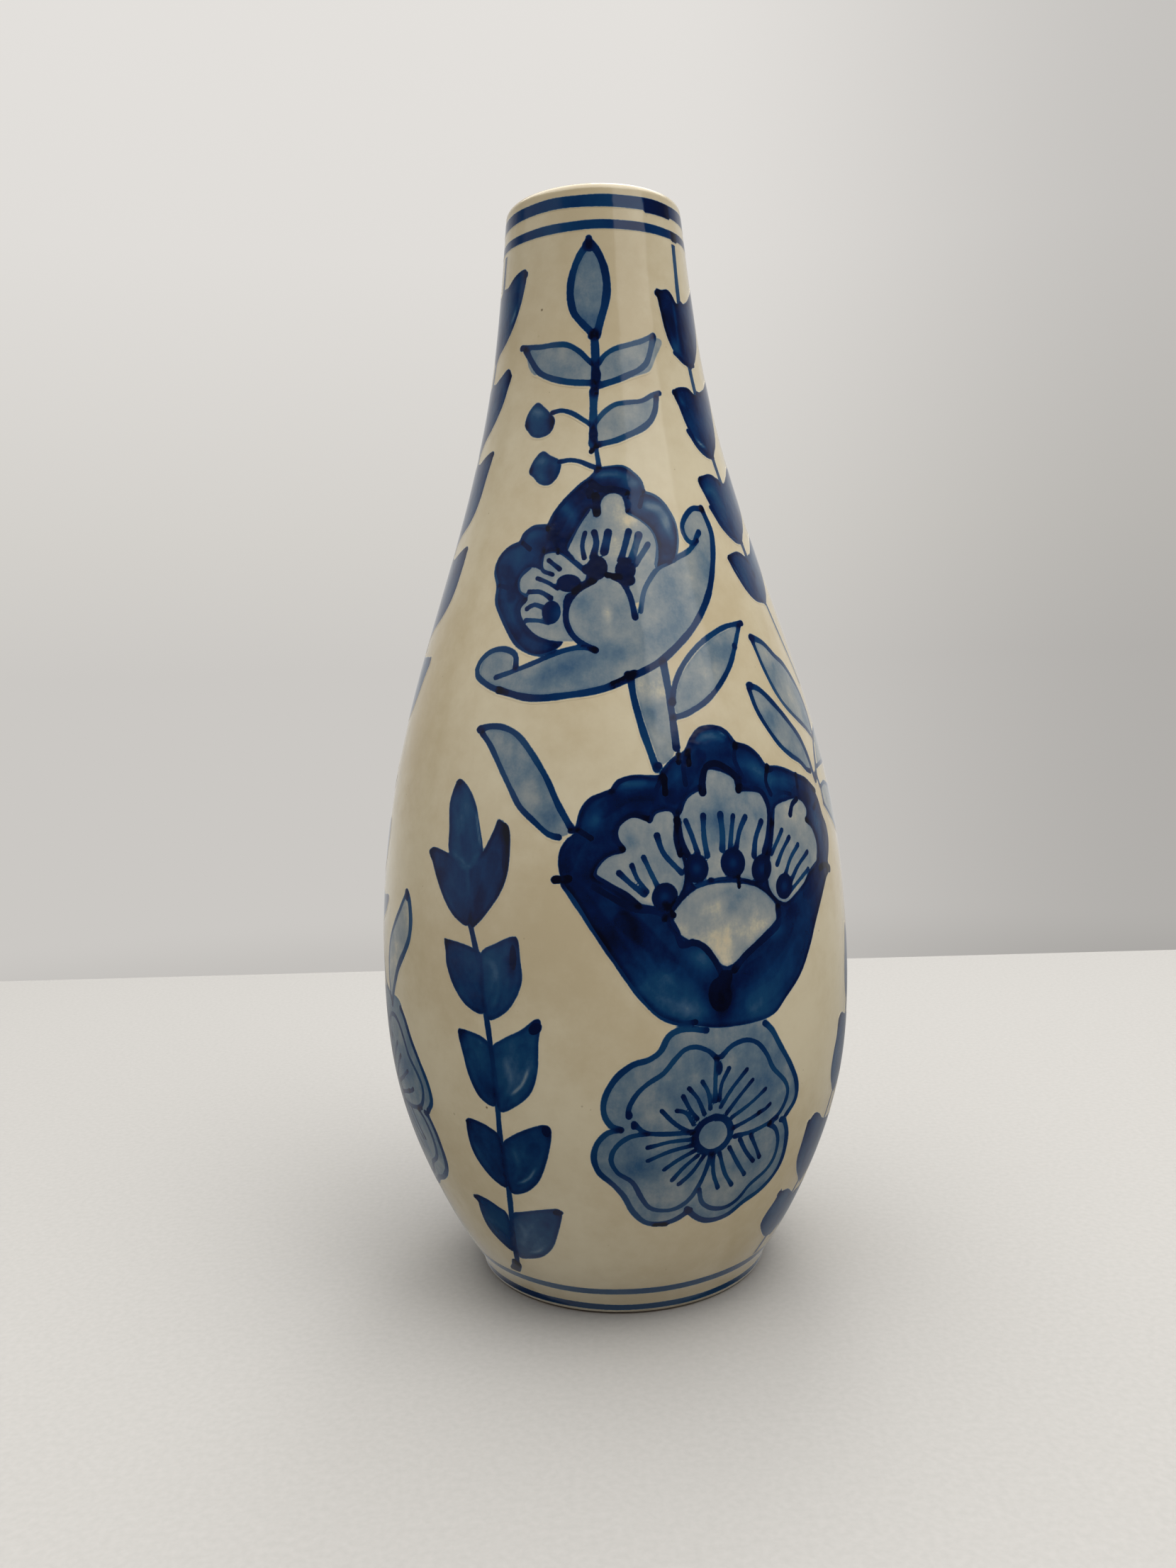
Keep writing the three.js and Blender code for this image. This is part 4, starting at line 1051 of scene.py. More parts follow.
    lobes = [
        [(19.4, 127.2), (17.6, 124.4), (17.6, 120.6)], [(32.4, 128), (31.4, 125), (32.8, 121.4)],
        [(41.4, 122.8), (40, 119.8), (41, 117)], [(12.2, 122.4), (10.4, 119.4), (10.6, 117)],
        [(0.4, 119.8), (2.4, 117.2)], [(-7.4, 112.4), (-4.4, 110.6)], [(52.4, 120.2), (52, 117.6)],
        [(61.4, 114), (58.4, 112.4)],
    ]
    for points in lobes:
        p.line(points, 1.2, 0.90, 0.0)
    for centre, size, tilt in (((25.4, 127.6), (3.4, 2.6), 0), ((36.6, 123.4), (2.6, 1.8), -30),
                               ((46.6, 119.2), (3.0, 1.2), -15), ((6, 120), (3.0, 1.4), 0),
                               ((-3.2, 114.4), (1.6, 2.6), -35), ((-8, 106.6), (1.4, 3.0), 0),
                               ((16, 122), (1.4, 1.8), 0), ((59.6, 106), (1.4, 5.0), 8)):
        p.tint("dark", centre, size, -0.07, tilt)
    p.line([(38.8, 93.6), (38.4, 90), (34, 87.6), (29, 84.8), (26, 82.2)], 1.7, 0.84)
    p.line([(11, 97), (12.6, 94.6)], 1.3, 0.88)
    p.blob((22.4, 77.4), (2.8, 3.8), 0.97, 8)
    p.blob((23.6, 80.4), (1.8, 2.2), 0.97, -20)
    p.glint([(27.6, 131), (29.2, 130.4), (30.6, 129.4)], 0.4, -0.5)


def blossom(p):
    p.wash([(19, 72), (12.6, 71), (10.4, 69.4), (8.8, 66.6), (6.4, 65.2), (3, 64.2), (-0.6, 61.4),
            (-3, 57.4), (-3.2, 54), (-1.8, 51.4), (-2.6, 49.8), (-5, 47.4), (-6, 44), (-5, 40.6),
            (-2, 37.6), (0.6, 34.4), (2.6, 30.6), (5.6, 27.6), (9, 26.9), (13, 27.4), (17, 29),
            (18.6, 27.5), (21.6, 26.1), (25, 25.6), (29, 26.3), (33, 28.3), (38, 30), (41.8, 33),
            (43.2, 37), (42.8, 42.4), (41, 46.4), (42.6, 48), (44, 50.6), (43.6, 54.4), (41.2, 59),
            (37.8, 64), (35.4, 68), (33, 71.4), (27, 72)], 0.30)
    p.tint("wash", (20, 60), (9, 7), 0.05)
    p.tint("wash", (33, 57), (5, 5), 0.08)
    p.tint("wash", (4, 41), (4, 4), 0.12)
    p.tint("wash", (8, 53), (3.4, 2), -0.08)
    p.tint("wash", (12, 33), (3, 1.8), -0.10)
    p.tint("wash", (36, 38), (4, 3), -0.06)
    p.tint("wash", (34, 38), (2, 3), 0.10)
    p.tint("wash", (28, 32), (4, 2.6), -0.08)
    p.tint("wash", (30, 64), (4, 3), -0.05)
    p.tint("wash", (39, 30.6), (3, 1.4), 0.12, 25)
    outline = [
        ([(19, 70.4), (14, 71.2), (10.8, 70), (9, 67), (6.4, 65.3), (3, 64.4), (-0.6, 61.6), (-3, 57.5),
          (-3.3, 54), (-1.9, 51.4), (0.2, 50.4)], 1.35),
        ([(0, 50.4), (-2.6, 49.8), (-5, 47.4), (-6, 44), (-5, 40.5), (-2, 37.6), (0.5, 34.5), (2.5, 30.6),
          (5.5, 27.6), (9, 26.8), (13, 27.3), (17, 29.4)], 1.3),
        ([(16.2, 29.9), (18.6, 27.6), (21.5, 26), (25, 25.5), (29, 26.2), (33, 28.4), (38, 30.2),
          (42, 33.2), (43.5, 37), (43, 42.5), (41.2, 46.2), (40, 46.8)], 1.35),
        ([(41.6, 47.6), (44.3, 50.6), (44, 54.5), (41.5, 59), (38, 64), (35.4, 68), (33.4, 69.8)], 1.3),
    ]
    for points, width in outline:
        p.line(points, width, 0.66)
    petals = [
        [(21.4, 64), (19.4, 66), (16.5, 67.2), (14, 66.8), (11.6, 64.6), (9.4, 62.2), (6, 60.2),
         (3.6, 58), (2, 55.2), (1.9, 53.4)],
        [(3, 51.8), (5.4, 49.6), (10, 48.9), (16, 48.7)],
        [(6, 49.3), (2, 48.7), (-1, 46.5), (-2.2, 43.5), (-0.8, 40.4), (2.5, 38), (4.5, 34.2),
         (6.6, 31.3), (10, 30.2), (13.6, 30.5), (16.6, 32.4), (18.6, 35.6), (20, 39.4), (20.8, 43)],
        [(18.8, 34.4), (20, 31), (23, 28.9), (27, 28.2), (30.6, 29.5), (33.6, 32.6), (38, 35), (40, 37.6),
         (40.2, 41.5), (38.6, 44.9), (36, 46.8)],
        [(36, 46.8), (39.5, 49), (41.2, 52.6), (40, 55.6), (36, 59.5), (34, 63), (31.5, 65.8), (28.5, 67),
         (25, 66.4), (22.4, 64.4)],
        [(21.3, 64.4), (21, 60), (21, 55)], [(26.6, 46), (32, 46.2), (38.4, 47.6)],
    ]
    for points in petals:
        p.line(points, 1.15, 0.66)
    turns = np.radians(np.arange(0, 361, 30))
    ring = [(21 + 4.3 * math.sin(a), 47.3 + 4.0 * math.cos(a)) for a in turns]
    p.line(ring, 1.6, 0.78, 0.0)
    p.blob((21.9, 62), (0.8, 1.6), 0.84)
    p.blob((2, 53.6), (0.8, 1.0), 0.82)
    p.blob((3, 51.2), (0.7, 0.9), 0.84)
    p.blob((17, 29.4), (0.8, 0.8), 0.82)
    p.line([(7.8, 26.8), (11, 26.6)], 1.2, 0.84)
    filaments = [
        [(22, 55), (22.5, 58.5), (24.2, 61.6)], [(22.4, 53.4), (25, 57), (28.7, 60.6)],
        [(24, 51.8), (27, 55), (30.3, 58)], [(25.4, 50.6), (30, 52.8), (34, 55.2)],
        [(25.8, 48), (29.4, 49), (32.6, 50)], [(32.6, 50.2), (34.2, 50.5), (35.7, 51.4)],
        [(31, 45.3), (33, 42), (34.8, 39.1)], [(28, 45), (30.2, 41.6), (33, 38.6)],
        [(25.4, 43.6), (28, 39.6), (31, 35.8)], [(23, 42.6), (25, 37.6), (27.7, 33.9)],
        [(21.4, 42.6), (22, 38), (23.8, 34)], [(19, 42.6), (16.4, 39), (13.5, 36.6)],
        [(17.6, 43), (14.4, 40.6), (11.8, 37.8)], [(16.6, 44.2), (13, 42.6), (9.8, 40.6)],
        [(16, 45.6), (11, 44.8), (6, 43)], [(16, 47), (11, 47), (6, 46.1)],
        [(15.8, 48.4), (12, 51), (9, 54.2)], [(16.2, 50.4), (14.4, 53.2), (12.3, 53.9)],
        [(17, 51.5), (15.2, 54), (13.7, 56.9)], [(18.6, 52.4), (17, 56), (15, 58.5)],
        [(20, 53.4), (19.4, 57), (18, 59.6)],
    ]
    for points in filaments:
        p.line(points, 1.0, 0.68)


def dark_leaves(p, leaves):
    """Filled leaves with a loaded tip, a dark edge and a thinner middle."""
    for outline, base, tip, load in leaves:
        p.dark(outline, load)
        middle = [(a + b) / 2 for a, b in zip(base, tip)]
        p.tint("dark", middle, (2.2, 3.4), -0.08)
        inner = [(0.8 * a + 0.2 * b) for a, b in zip(base, tip)]
        outer = [(0.3 * a + 0.7 * b) for a, b in zip(base, tip)]
        p.second_pass([base, inner, outer], 2.6, 0.05)
        p.tint("dark", tip, (1.5, 2.0), 0.16)


def rising_sprig(p):
    leaves = [
        ([(-34, 14.4), (-29, 14.7), (-24, 16.4), (-20, 19.6), (-17.4, 24), (-15.3, 29), (-15.9, 30.6),
          (-20, 30), (-26, 28.5), (-30.6, 26.8), (-33, 21)], (-33, 15), (-16, 30), 0.62),
        ([(-35.2, 15.4), (-39.6, 17.8), (-42, 21), (-42, 25.4), (-41.4, 27.8), (-42.8, 28.6), (-41, 29.8),
          (-37, 29.4), (-34, 28.2), (-31.6, 26.6), (-33, 20)], (-35, 16), (-42, 29), 0.66),
        ([(-28.4, 33.2), (-24, 33.9), (-20, 37), (-17.4, 41.5), (-15.5, 47), (-15.2, 50.4), (-17, 51),
          (-21, 49.6), (-25, 47.5), (-27.8, 45), (-28.4, 39)], (-28, 34), (-16, 50), 0.66),
        ([(-29, 34.3), (-33, 35.8), (-36.4, 40), (-37.5, 44), (-37.3, 48.4), (-36.4, 49.8), (-33, 49.5),
          (-30, 48.5), (-27.8, 46.5), (-28.2, 40)], (-29, 35), (-37, 49), 0.70),
        ([(-27.4, 53), (-23, 54.5), (-19, 58), (-17.2, 63), (-16.7, 69), (-16, 73.2), (-17.2, 73.8),
          (-20.6, 71.3), (-25, 69), (-28, 66.5), (-27.8, 60)], (-27, 54), (-17, 73), 0.62),
        ([(-28, 54), (-32, 55.2), (-34.5, 59.5), (-35.7, 64), (-36.8, 68.5), (-36, 69.8), (-32, 69.4),
          (-29.6, 68.6), (-27.6, 66.4), (-27.6, 60)], (-28, 55), (-36, 69), 0.66),
        ([(-28.8, 73), (-25, 74), (-22, 77), (-20, 81.5), (-20.3, 86), (-20.8, 90), (-22.2, 90.6),
          (-26, 89), (-30, 86.5), (-30, 80)], (-28, 74), (-21, 90), 0.64),
        ([(-29.4, 74), (-34, 75), (-37.5, 78.5), (-39.7, 83), (-40, 86), (-40.5, 88.5), (-39.4, 88.6),
          (-36, 88.3), (-32, 87.5), (-29.6, 86), (-29.4, 80)], (-30, 75), (-40, 88), 0.69),
        ([(-33, 92.2), (-36.5, 93), (-40, 96), (-43.5, 101), (-45.5, 104.5), (-47, 106.3), (-45.6, 107.6),
          (-41.5, 107), (-37, 105.7), (-33, 104.2), (-32, 98)], (-33, 93), (-46, 106), 0.73),
        ([(-33.6, 103), (-37, 104.8), (-40, 107), (-40.5, 112), (-41.2, 117), (-40, 121), (-38.8, 122.3),
          (-36, 121), (-33, 117.5), (-31, 112), (-29.9, 107.4), (-31, 104)], (-34, 106), (-39, 121),
          0.66),
        ([(-33, 92.3), (-31, 92.5), (-28, 95.5), (-25, 99.5), (-23.3, 104), (-23, 110), (-23.6, 113),
          (-25, 113.8), (-26.4, 114.4), (-27.2, 112.4), (-30, 107.5), (-33.4, 104)], (-32, 93),
          (-24.6, 112), 0.76),
    ]
    dark_leaves(p, leaves)
    p.tint("dark", (-36.6, 116), (1.8, 4.4), -0.10, -10)
    p.tint("dark", (-24, 107), (0.8, 5), 0.18)
    p.tint("dark", (-23, 60), (2.2, 3.4), -0.08)
    p.tint("dark", (-27, 19.6), (4, 3), -0.08)
    p.tint("dark", (-27, 80), (1.6, 3), -0.08)
    p.tint("dark", (-22.2, 85), (0.9, 3.4), 0.20)
    p.line([(-39.8, 8.4), (-36.6, 11), (-34.4, 15), (-32.6, 20), (-30.6, 26), (-28.9, 33), (-28.3, 40),
            (-27.9, 48), (-27.5, 55), (-27.7, 62), (-28.4, 70), (-29.4, 77), (-30.4, 84), (-32, 90),
            (-33, 93)], 1.35, 0.72, 0.06)
    p.line([(-39.6, 8.6), (-37.8, 10), (-36.4, 11.6)], 2.2, 0.76)
    dabs = [
        ((-46.2, 106.5), (0.8, 0.7), 0), ((-25, 111.6), (0.8, 2.4), 6), ((-24.2, 106), (0.7, 3.4), 0),
        ((-36.2, 69), (0.7, 0.9), 0), ((-17.4, 71.8), (1.7, 1.2), 40), ((-41.6, 29), (0.8, 0.6), 0),
        ((-22, 86.2), (0.9, 3.0), 0), ((-16.3, 49.6), (1.1, 1.4), 10), ((-16.4, 29.6), (1.3, 0.8), 10),
        ((-39.6, 87.8), (0.6, 0.7), 0), ((-38.8, 121.4), (0.9, 0.7), 0), ((-36.8, 48.8), (0.6, 0.6), 0),
    ]
    for centre, size, tilt in dabs:
        p.blob(centre, size, 0.90, tilt)
    for points in ([(-32, 94), (-33, 99), (-34, 103.6)],
                   [(-40, 107), (-36, 105.4), (-33.4, 104.2), (-30.4, 107.4)],
                   [(-27.2, 75), (-25.6, 80), (-27.4, 86)], [(-26, 55.4), (-23.6, 60), (-25, 66)],
                   [(-27, 36), (-24.4, 40.4), (-25.6, 45.6)], [(-31.4, 18), (-28, 21), (-28.6, 26)]):
        p.glint(points, 0.7, -0.10)
    p.glint([(-30.4, 108), (-31.6, 112), (-32.8, 116.4)], 0.35, -0.36)
    p.glint([(-24.4, 56.6), (-21, 59.6), (-19, 63.8)], 0.35, -0.32)
    p.glint([(-26.4, 35.6), (-22.4, 37.6), (-19.6, 41)], 0.35, -0.30)
    p.glint([(-30, 16.4), (-25.6, 17.4), (-22.6, 19.4)], 0.4, -0.20)
    p.glint([(-29.8, 66.8), (-31.6, 68.4)], 0.35, -0.24)
    p.glint([(-36.2, 51.6), (-36.8, 46)], 0.3, -0.12)


def right_vine(p):
    leaves = [
        ([(55, 211.4), (48, 212.3), (43, 214.3), (39.5, 218), (37.6, 222.5), (36.4, 225.4), (35, 226.2),
          (36.4, 227.4), (40, 227.3), (44.6, 227.7), (48.4, 226.8), (51.5, 225.2), (56, 225), (57, 218)],
         (55, 213), (37, 226), 0.80),
        ([(54, 211.4), (61, 212.3), (66, 214.5), (71, 217), (75, 219.8), (79, 223), (82.6, 227.4),
          (84, 231), (81, 231), (77, 229.8), (72, 228.6), (66, 226.9), (60, 225.7), (54, 225)],
          (56, 213), (83, 230), 0.72),
        ([(57, 190.9), (52, 191.5), (47, 193.3), (43, 197.5), (40.5, 201.5), (38.4, 204), (40, 205.3),
          (45, 206), (50, 206), (54, 205), (58, 204.4), (58, 198)], (56, 192), (39.4, 204.4), 0.76),
        ([(56, 191.1), (62, 192.7), (67, 195.4), (71, 199), (75, 203), (80, 206.8), (84, 209.6),
          (80, 210), (74, 208.9), (68, 207.2), (61, 205.9), (56, 204.6)], (58, 192), (83, 209.4), 0.70),
        ([(61, 171.8), (57, 172.2), (52, 173.7), (48, 177), (45, 181), (42.4, 184.8), (44.5, 185.8),
          (50, 186.5), (54, 186.2), (59, 185), (60, 178)], (60, 173), (43.4, 185), 0.72),
        ([(59, 171.9), (66, 174), (71, 176.5), (76, 179.4), (81, 183.2), (86, 188.6), (85, 190.2),
          (80, 189.8), (74, 189.5), (68, 187.3), (62, 185.2), (58, 184.6)], (62, 173), (85, 189.4), 0.64),
        ([(64, 158.2), (58, 158.8), (54, 161), (51, 164.5), (49, 166.8), (48, 167.4), (49.5, 168.6),
          (54, 169.2), (58, 168.8), (63, 167.6), (65, 162)], (62, 159), (48.8, 167.4), 0.68),
        ([(63.4, 158), (68, 159.4), (72, 162), (76, 165.4), (80, 169.4), (84, 173.4), (82.4, 174.8),
          (77, 173.8), (72, 172), (67, 169.6), (62, 167.6)], (65, 159), (83, 174), 0.60),
    ]
    dark_leaves(p, leaves)
    p.tint("dark", (44, 221), (4, 4), 0.10)
    p.tint("dark", (44, 214.6), (3, 1.4), -0.14, 25)
    p.tint("dark", (62, 220), (3, 5), 0.06)
    p.tint("dark", (49, 183), (3.4, 1.6), -0.12)
    p.line([(56.4, 239.2), (55.5, 233), (54.6, 226), (54.6, 220), (55, 212), (55.9, 205), (56.6, 198),
            (58, 190), (59.6, 184), (60.8, 176), (61.5, 170), (63, 164)], 1.5, 0.62, 0.06)
    p.line([(62.8, 165), (65.4, 157.6), (68.5, 150.8), (72, 145.2), (76, 140)], 1.0, 0.50)
    p.line([(44, 213.6), (50, 212), (56, 211.6), (60, 212)], 1.0, 0.86, 0.0)
    p.line([(43.4, 196), (48, 192.6), (53, 191), (58.6, 191)], 1.0, 0.82, 0.0)
    p.line([(46, 179), (50, 174.8), (56, 172), (62, 171.8)], 0.9, 0.76, 0.0)
    p.line([(48.6, 167.2), (50, 164.8), (54, 160.6), (58, 158.8), (64, 158.4)], 0.9, 0.76, 0.0)
    p.line([(44, 185.4), (50, 186.3), (54, 186), (58, 184.6)], 0.8, 0.78)
    p.line([(48.6, 168), (54, 169), (58, 168.6), (62.6, 167)], 0.8, 0.78)
    p.blob((36.4, 226.4), (0.7, 0.7), 0.84)
    p.blob((39.6, 204.4), (0.9, 0.8), 0.94)
    p.blob((48.8, 167.6), (0.8, 0.7), 0.94)
    # Painted highlights: lighter streaks across the leaves.
    p.glint([(46.6, 195), (50, 193.6), (55.4, 192.6)], 0.35, -0.42)
    p.glint([(41.4, 204.2), (43.4, 202.6), (46, 201)], 0.4, -0.16)
    p.glint([(48.6, 226), (49, 221), (48.4, 215)], 0.5, -0.14)


def left_vine(p):
    stem = [(-70, 239), (-71, 228), (-72.4, 214), (-74, 197), (-76.4, 176), (-79, 156), (-82, 136)]
    leaves = [
        ([(-73, 215.4), (-66, 216.4), (-58, 218.5), (-51, 222), (-46, 226.5), (-43, 231.4), (-43.6, 233),
          (-47, 233.3), (-54, 232.6), (-62, 231), (-72.4, 229.6)], (-72, 217), (-44, 232), 0.66),
        ([(-71.4, 215.4), (-79, 216.6), (-84, 219.4), (-87.6, 223.6), (-89.6, 228.6), (-90, 231.6),
          (-87, 232.2), (-82, 231.4), (-77, 230), (-71.6, 229.6)], (-73, 217), (-89.4, 231), 0.66),
        ([(-75, 194.8), (-68, 196.8), (-60, 200), (-54, 204), (-51.4, 207.4), (-49.5, 210), (-53, 212),
          (-60, 210.8), (-66, 209.8), (-74, 208.6)], (-74, 196), (-51, 210), 0.66),
        ([(-74, 194.8), (-81, 196), (-85.4, 199), (-88.6, 203.4), (-90.4, 208.4), (-88.6, 209.8),
          (-84, 209.6), (-79, 209), (-73, 208.6)], (-75, 196), (-90, 208), 0.66),
        ([(-77.4, 174.8), (-70, 176), (-63, 178.5), (-59, 182.5), (-57, 188), (-55, 192.4),
          (-55.6, 193.8), (-61, 193.3), (-68, 192), (-75.4, 190.4)], (-76, 176), (-56, 193), 0.66),
        ([(-76.4, 174.8), (-83, 176.4), (-87, 179.8), (-90, 185), (-91, 190.4), (-87.4, 191), (-82, 191),
          (-75.6, 190.4)], (-78, 176), (-90.6, 190), 0.66),
        ([(-79.8, 153.8), (-72, 155), (-65, 158), (-61, 162), (-59.5, 167), (-59, 171.4), (-60.4, 172.8),
          (-66, 171.8), (-72, 170.5), (-77.4, 169.4)], (-79, 155), (-60, 172), 0.66),
        ([(-78.6, 153.8), (-84, 155.4), (-88, 159), (-90.6, 164.4), (-91.4, 169), (-88.4, 170.4),
          (-84, 170), (-77.6, 169.4)], (-80, 155), (-91, 169), 0.66),
        ([(-82.4, 134.8), (-75.5, 135.3), (-71, 139), (-68, 144), (-66, 147), (-68, 148.2), (-75, 148.2),
          (-80.6, 147.4)], (-81, 136), (-67, 147.6), 0.56),
        ([(-81.4, 134.8), (-88, 136.6), (-92, 140.4), (-94.6, 145.4), (-94, 148.4), (-88, 148.4),
          (-80, 147.6)], (-83, 136), (-94, 147), 0.56),
    ]
    dark_leaves(p, leaves)
    p.line(stem, 1.5, 0.62, 0.04)
    for _, _, tip, _ in leaves:
        p.blob(tip, (0.8, 0.8), 0.82)
    p.glint([(-57, 221.4), (-53, 223.4), (-50, 225.8)], 0.5, -0.24)


def light_sprig(p):
    p.wash([(41.6, 139.6), (45, 138.6), (50, 135.2), (55, 131.2), (58.8, 127.8), (61, 124), (62, 120.2),
            (59.6, 121), (56, 123.2), (52, 125), (48, 127.6), (44.8, 131.6), (42.6, 135.4)], 0.22)
    p.tint("wash", (47, 133.6), (2.6, 2.4), 0.12)
    p.tint("wash", (59, 123), (1.8, 2.6), 0.10)
    p.wash([(48.6, 149.6), (53, 148.6), (58, 145.8), (62, 144), (66, 141), (69.8, 137), (71.6, 133),
            (71, 128.6), (67, 129.6), (63, 131.6), (59, 133.6), (55.4, 136.2), (52.4, 139.6),
            (50, 144.4)], 0.22)
    p.tint("wash", (56, 142), (3, 3.4), 0.08)
    p.tint("wash", (68, 133), (2, 3.4), 0.08)
    p.wash([(67.2, 116.4), (71, 116.8), (77, 115.6), (84, 114.2), (91, 111), (96, 106), (90, 104.6),
            (84, 105), (77, 106.6), (72, 109.2), (68.4, 111.4), (66.6, 113)], 0.20)
    p.wash([(68, 121.2), (72, 121.6), (79, 121.6), (86, 120.6), (94, 117.6), (99, 120.6), (94, 126.6),
            (87, 129.4), (79, 129.6), (73, 127.4)], 0.18)
    p.line([(41.4, 139.9), (45, 139), (50, 135.6), (55, 131.6), (59, 128), (61.4, 124), (62.6, 120),
            (63.4, 118.2)], 1.35, 0.68)
    p.line([(40.9, 139.4), (42, 135), (44.5, 131), (48, 127.1), (52, 124.6), (56, 122.9), (59, 120.9),
            (61, 120.4)], 1.2, 0.70)
    p.line([(48, 150.3), (53, 149), (58, 146.1), (62, 144.4), (66, 141.4), (70, 137.4), (72, 133),
            (71.6, 129), (71.2, 127)], 1.35, 0.62)
    p.line([(47.8, 149.6), (49.5, 144), (52, 139), (55, 135.6), (59, 133), (63, 131.1), (67, 129.2),
            (71, 127)], 1.15, 0.62)
    p.blob((41.6, 140), (1.2, 0.8), 0.82)
    p.blob((47.9, 150.2), (1.1, 0.9), 0.86)
    p.line([(64.6, 118.8), (66.4, 121.6), (68.4, 124.6), (71.2, 127.2), (76, 129), (84, 129.6), (91, 128),
            (97, 123.8), (99.4, 120.4)], 1.1, 0.56)
    p.line([(67, 121), (72, 121.4), (79, 121.5), (86, 120.4), (94, 117.2), (99.4, 120)], 0.9, 0.54)
    p.line([(66.4, 116.4), (71, 117), (77, 115.8), (84, 114.6), (91, 111.4), (96.4, 105.8)], 0.9, 0.54)
    p.line([(66.2, 112.8), (68.4, 111.2), (72, 108.9), (77, 106.2), (84, 104.7), (91, 104.4),
            (96.4, 105.4)], 1.0, 0.58)
    p.line([(66, 116.6), (65.2, 118.8), (64.4, 119.6)], 1.0, 0.60)
    p.line([(66.4, 116.6), (66.4, 112.8)], 0.9, 0.58)


def rising_vine(p):
    leaves = [
        ([(55, 12.8), (51, 13.5), (47, 16), (44.2, 19), (44.8, 21.6), (47, 24.5), (48.2, 27.2),
          (49, 26.3), (52.5, 25.8), (56, 24), (59, 22), (58, 17)], (55, 14), (48, 26), 0.62),
        ([(55, 12.8), (60, 13.5), (65, 15), (70, 18), (74, 22), (76, 25), (70, 24), (64, 22.8), (58, 22)],
         (57, 14), (75, 24.6), 0.60),
        ([(60.4, 25.6), (57, 27.5), (53.5, 30.5), (51.4, 34), (51.4, 38), (51.8, 42.4), (53, 43),
          (55, 44), (58, 43), (61, 41), (64, 39.2), (63.4, 33)], (60, 27), (52.6, 42.4), 0.64),
        ([(60.4, 25.5), (66, 26), (71, 28), (76, 33), (79, 38), (72, 39), (66, 39.4), (62.4, 39)],
         (62, 27), (78, 37.6), 0.60),
        ([(67, 46.4), (63.4, 48.5), (61.4, 52), (61.8, 56), (63.5, 60), (64.4, 63.4), (67, 64.4),
          (70, 63.3), (73.4, 61.4), (72, 54)], (67, 48), (65, 63), 0.60),
        ([(67, 46.4), (72, 46.7), (77, 49.5), (80, 54), (82, 60), (77, 61.4), (72.4, 61.4)],
         (69, 48), (81, 59), 0.56),
        ([(73.4, 66), (71, 69), (70.6, 74), (72, 80), (74, 84), (77, 80), (78, 74), (76.4, 68.6)],
         (74, 68), (74, 83), 0.58),
    ]
    dark_leaves(p, leaves)
    p.line([(51, 8.6), (52.8, 13.4), (57, 21.6), (60.4, 28), (63, 37), (65.4, 44), (68, 49), (71, 58),
            (73.4, 67), (74.2, 74)], 1.2, 0.62, 0.06)
    for _, _, tip, _ in leaves[::2]:
        p.blob(tip, (0.8, 0.8), 0.78)


def side_sprig(p):
    p.wash([(-67, 69.5), (-68, 74), (-68, 79), (-66.4, 83.6), (-63, 88.2), (-59.6, 92), (-56, 96),
            (-54.6, 94), (-53.8, 90.6), (-54.6, 87), (-57, 83.5), (-61, 79), (-65, 73)], 0.17)
    p.line([(-66.4, 69.4), (-68, 74), (-68, 79), (-66.5, 84), (-63, 88.5), (-59.5, 92.4), (-56.2, 96.4)],
           1.05, 0.56)
    p.line([(-66.4, 69.4), (-64.5, 73), (-60.6, 79), (-56.6, 83.4), (-54.2, 87), (-53.6, 91), (-54.6, 95),
            (-56, 96.6)], 1.6, 0.60)
    p.blob((-55.9, 96), (0.9, 1.2), 0.80)
    leaves = [
        ([(-83.4, 86.6), (-78, 87.4), (-73, 89.4), (-70.5, 91.5), (-69, 93.4), (-70, 94.2), (-75, 93.4),
          (-83, 93.6)], (-82, 88), (-70, 93.6), 0.60),
        ([(-82.6, 86.6), (-88, 87.6), (-92.4, 90.4), (-95, 94.6), (-90, 95), (-82.6, 93.6)],
         (-84, 88), (-94, 94), 0.60),
        ([(-82.6, 98), (-79, 99.4), (-76, 103), (-74.6, 108), (-75.4, 111.4), (-79, 109.6), (-82, 106)],
         (-82, 99), (-75.4, 110.6), 0.60),
    ]
    dark_leaves(p, leaves)
    p.line([(-72, 72.2), (-76, 77), (-80.4, 83.4), (-82.8, 90), (-83, 97), (-82.8, 103)], 1.2, 0.60)
    p.line([(-66.8, 70.4), (-69, 71.6), (-72, 72.6)], 1.1, 0.58)


# ---- Making everything ---------------------------------------------------------------------

MOTIFS = {
    "leafy_stem": (leafy_stem, 0, "pale_cobalt"),
    "side_leaf": (side_leaf, 0, "pale_cobalt"),
    "top_sprig": (top_sprig, 0, "pale_cobalt"),
    "upper_flower": (upper_flower, 0, "dark_cobalt"),
    "blossom": (blossom, 0, "pale_cobalt"),
    "large_flower": (large_flower, 0, "dark_cobalt"),
    "rising_sprig": (rising_sprig, 0, "dark_cobalt"),
    "light_sprig": (light_sprig, 0, "pale_cobalt"),
    "right_vine": (right_vine, 0, "dark_cobalt"),
    "left_vine": (left_vine, 0, "dark_cobalt"),
    "rising_vine": (rising_vine, 0, "dark_cobalt"),
    "side_blossom": (blossom, -93.5, "pale_cobalt"),
    "side_sprig": (side_sprig, 0, "pale_cobalt"),
}
# How far the back's repeat sways, in degrees and millimetres.
BACK_SWAY = 0.45


def settle(piece, node):
    """The piece stands for one CAD node and moves with the vase's only body."""
    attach(piece, "root")
    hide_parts(node)


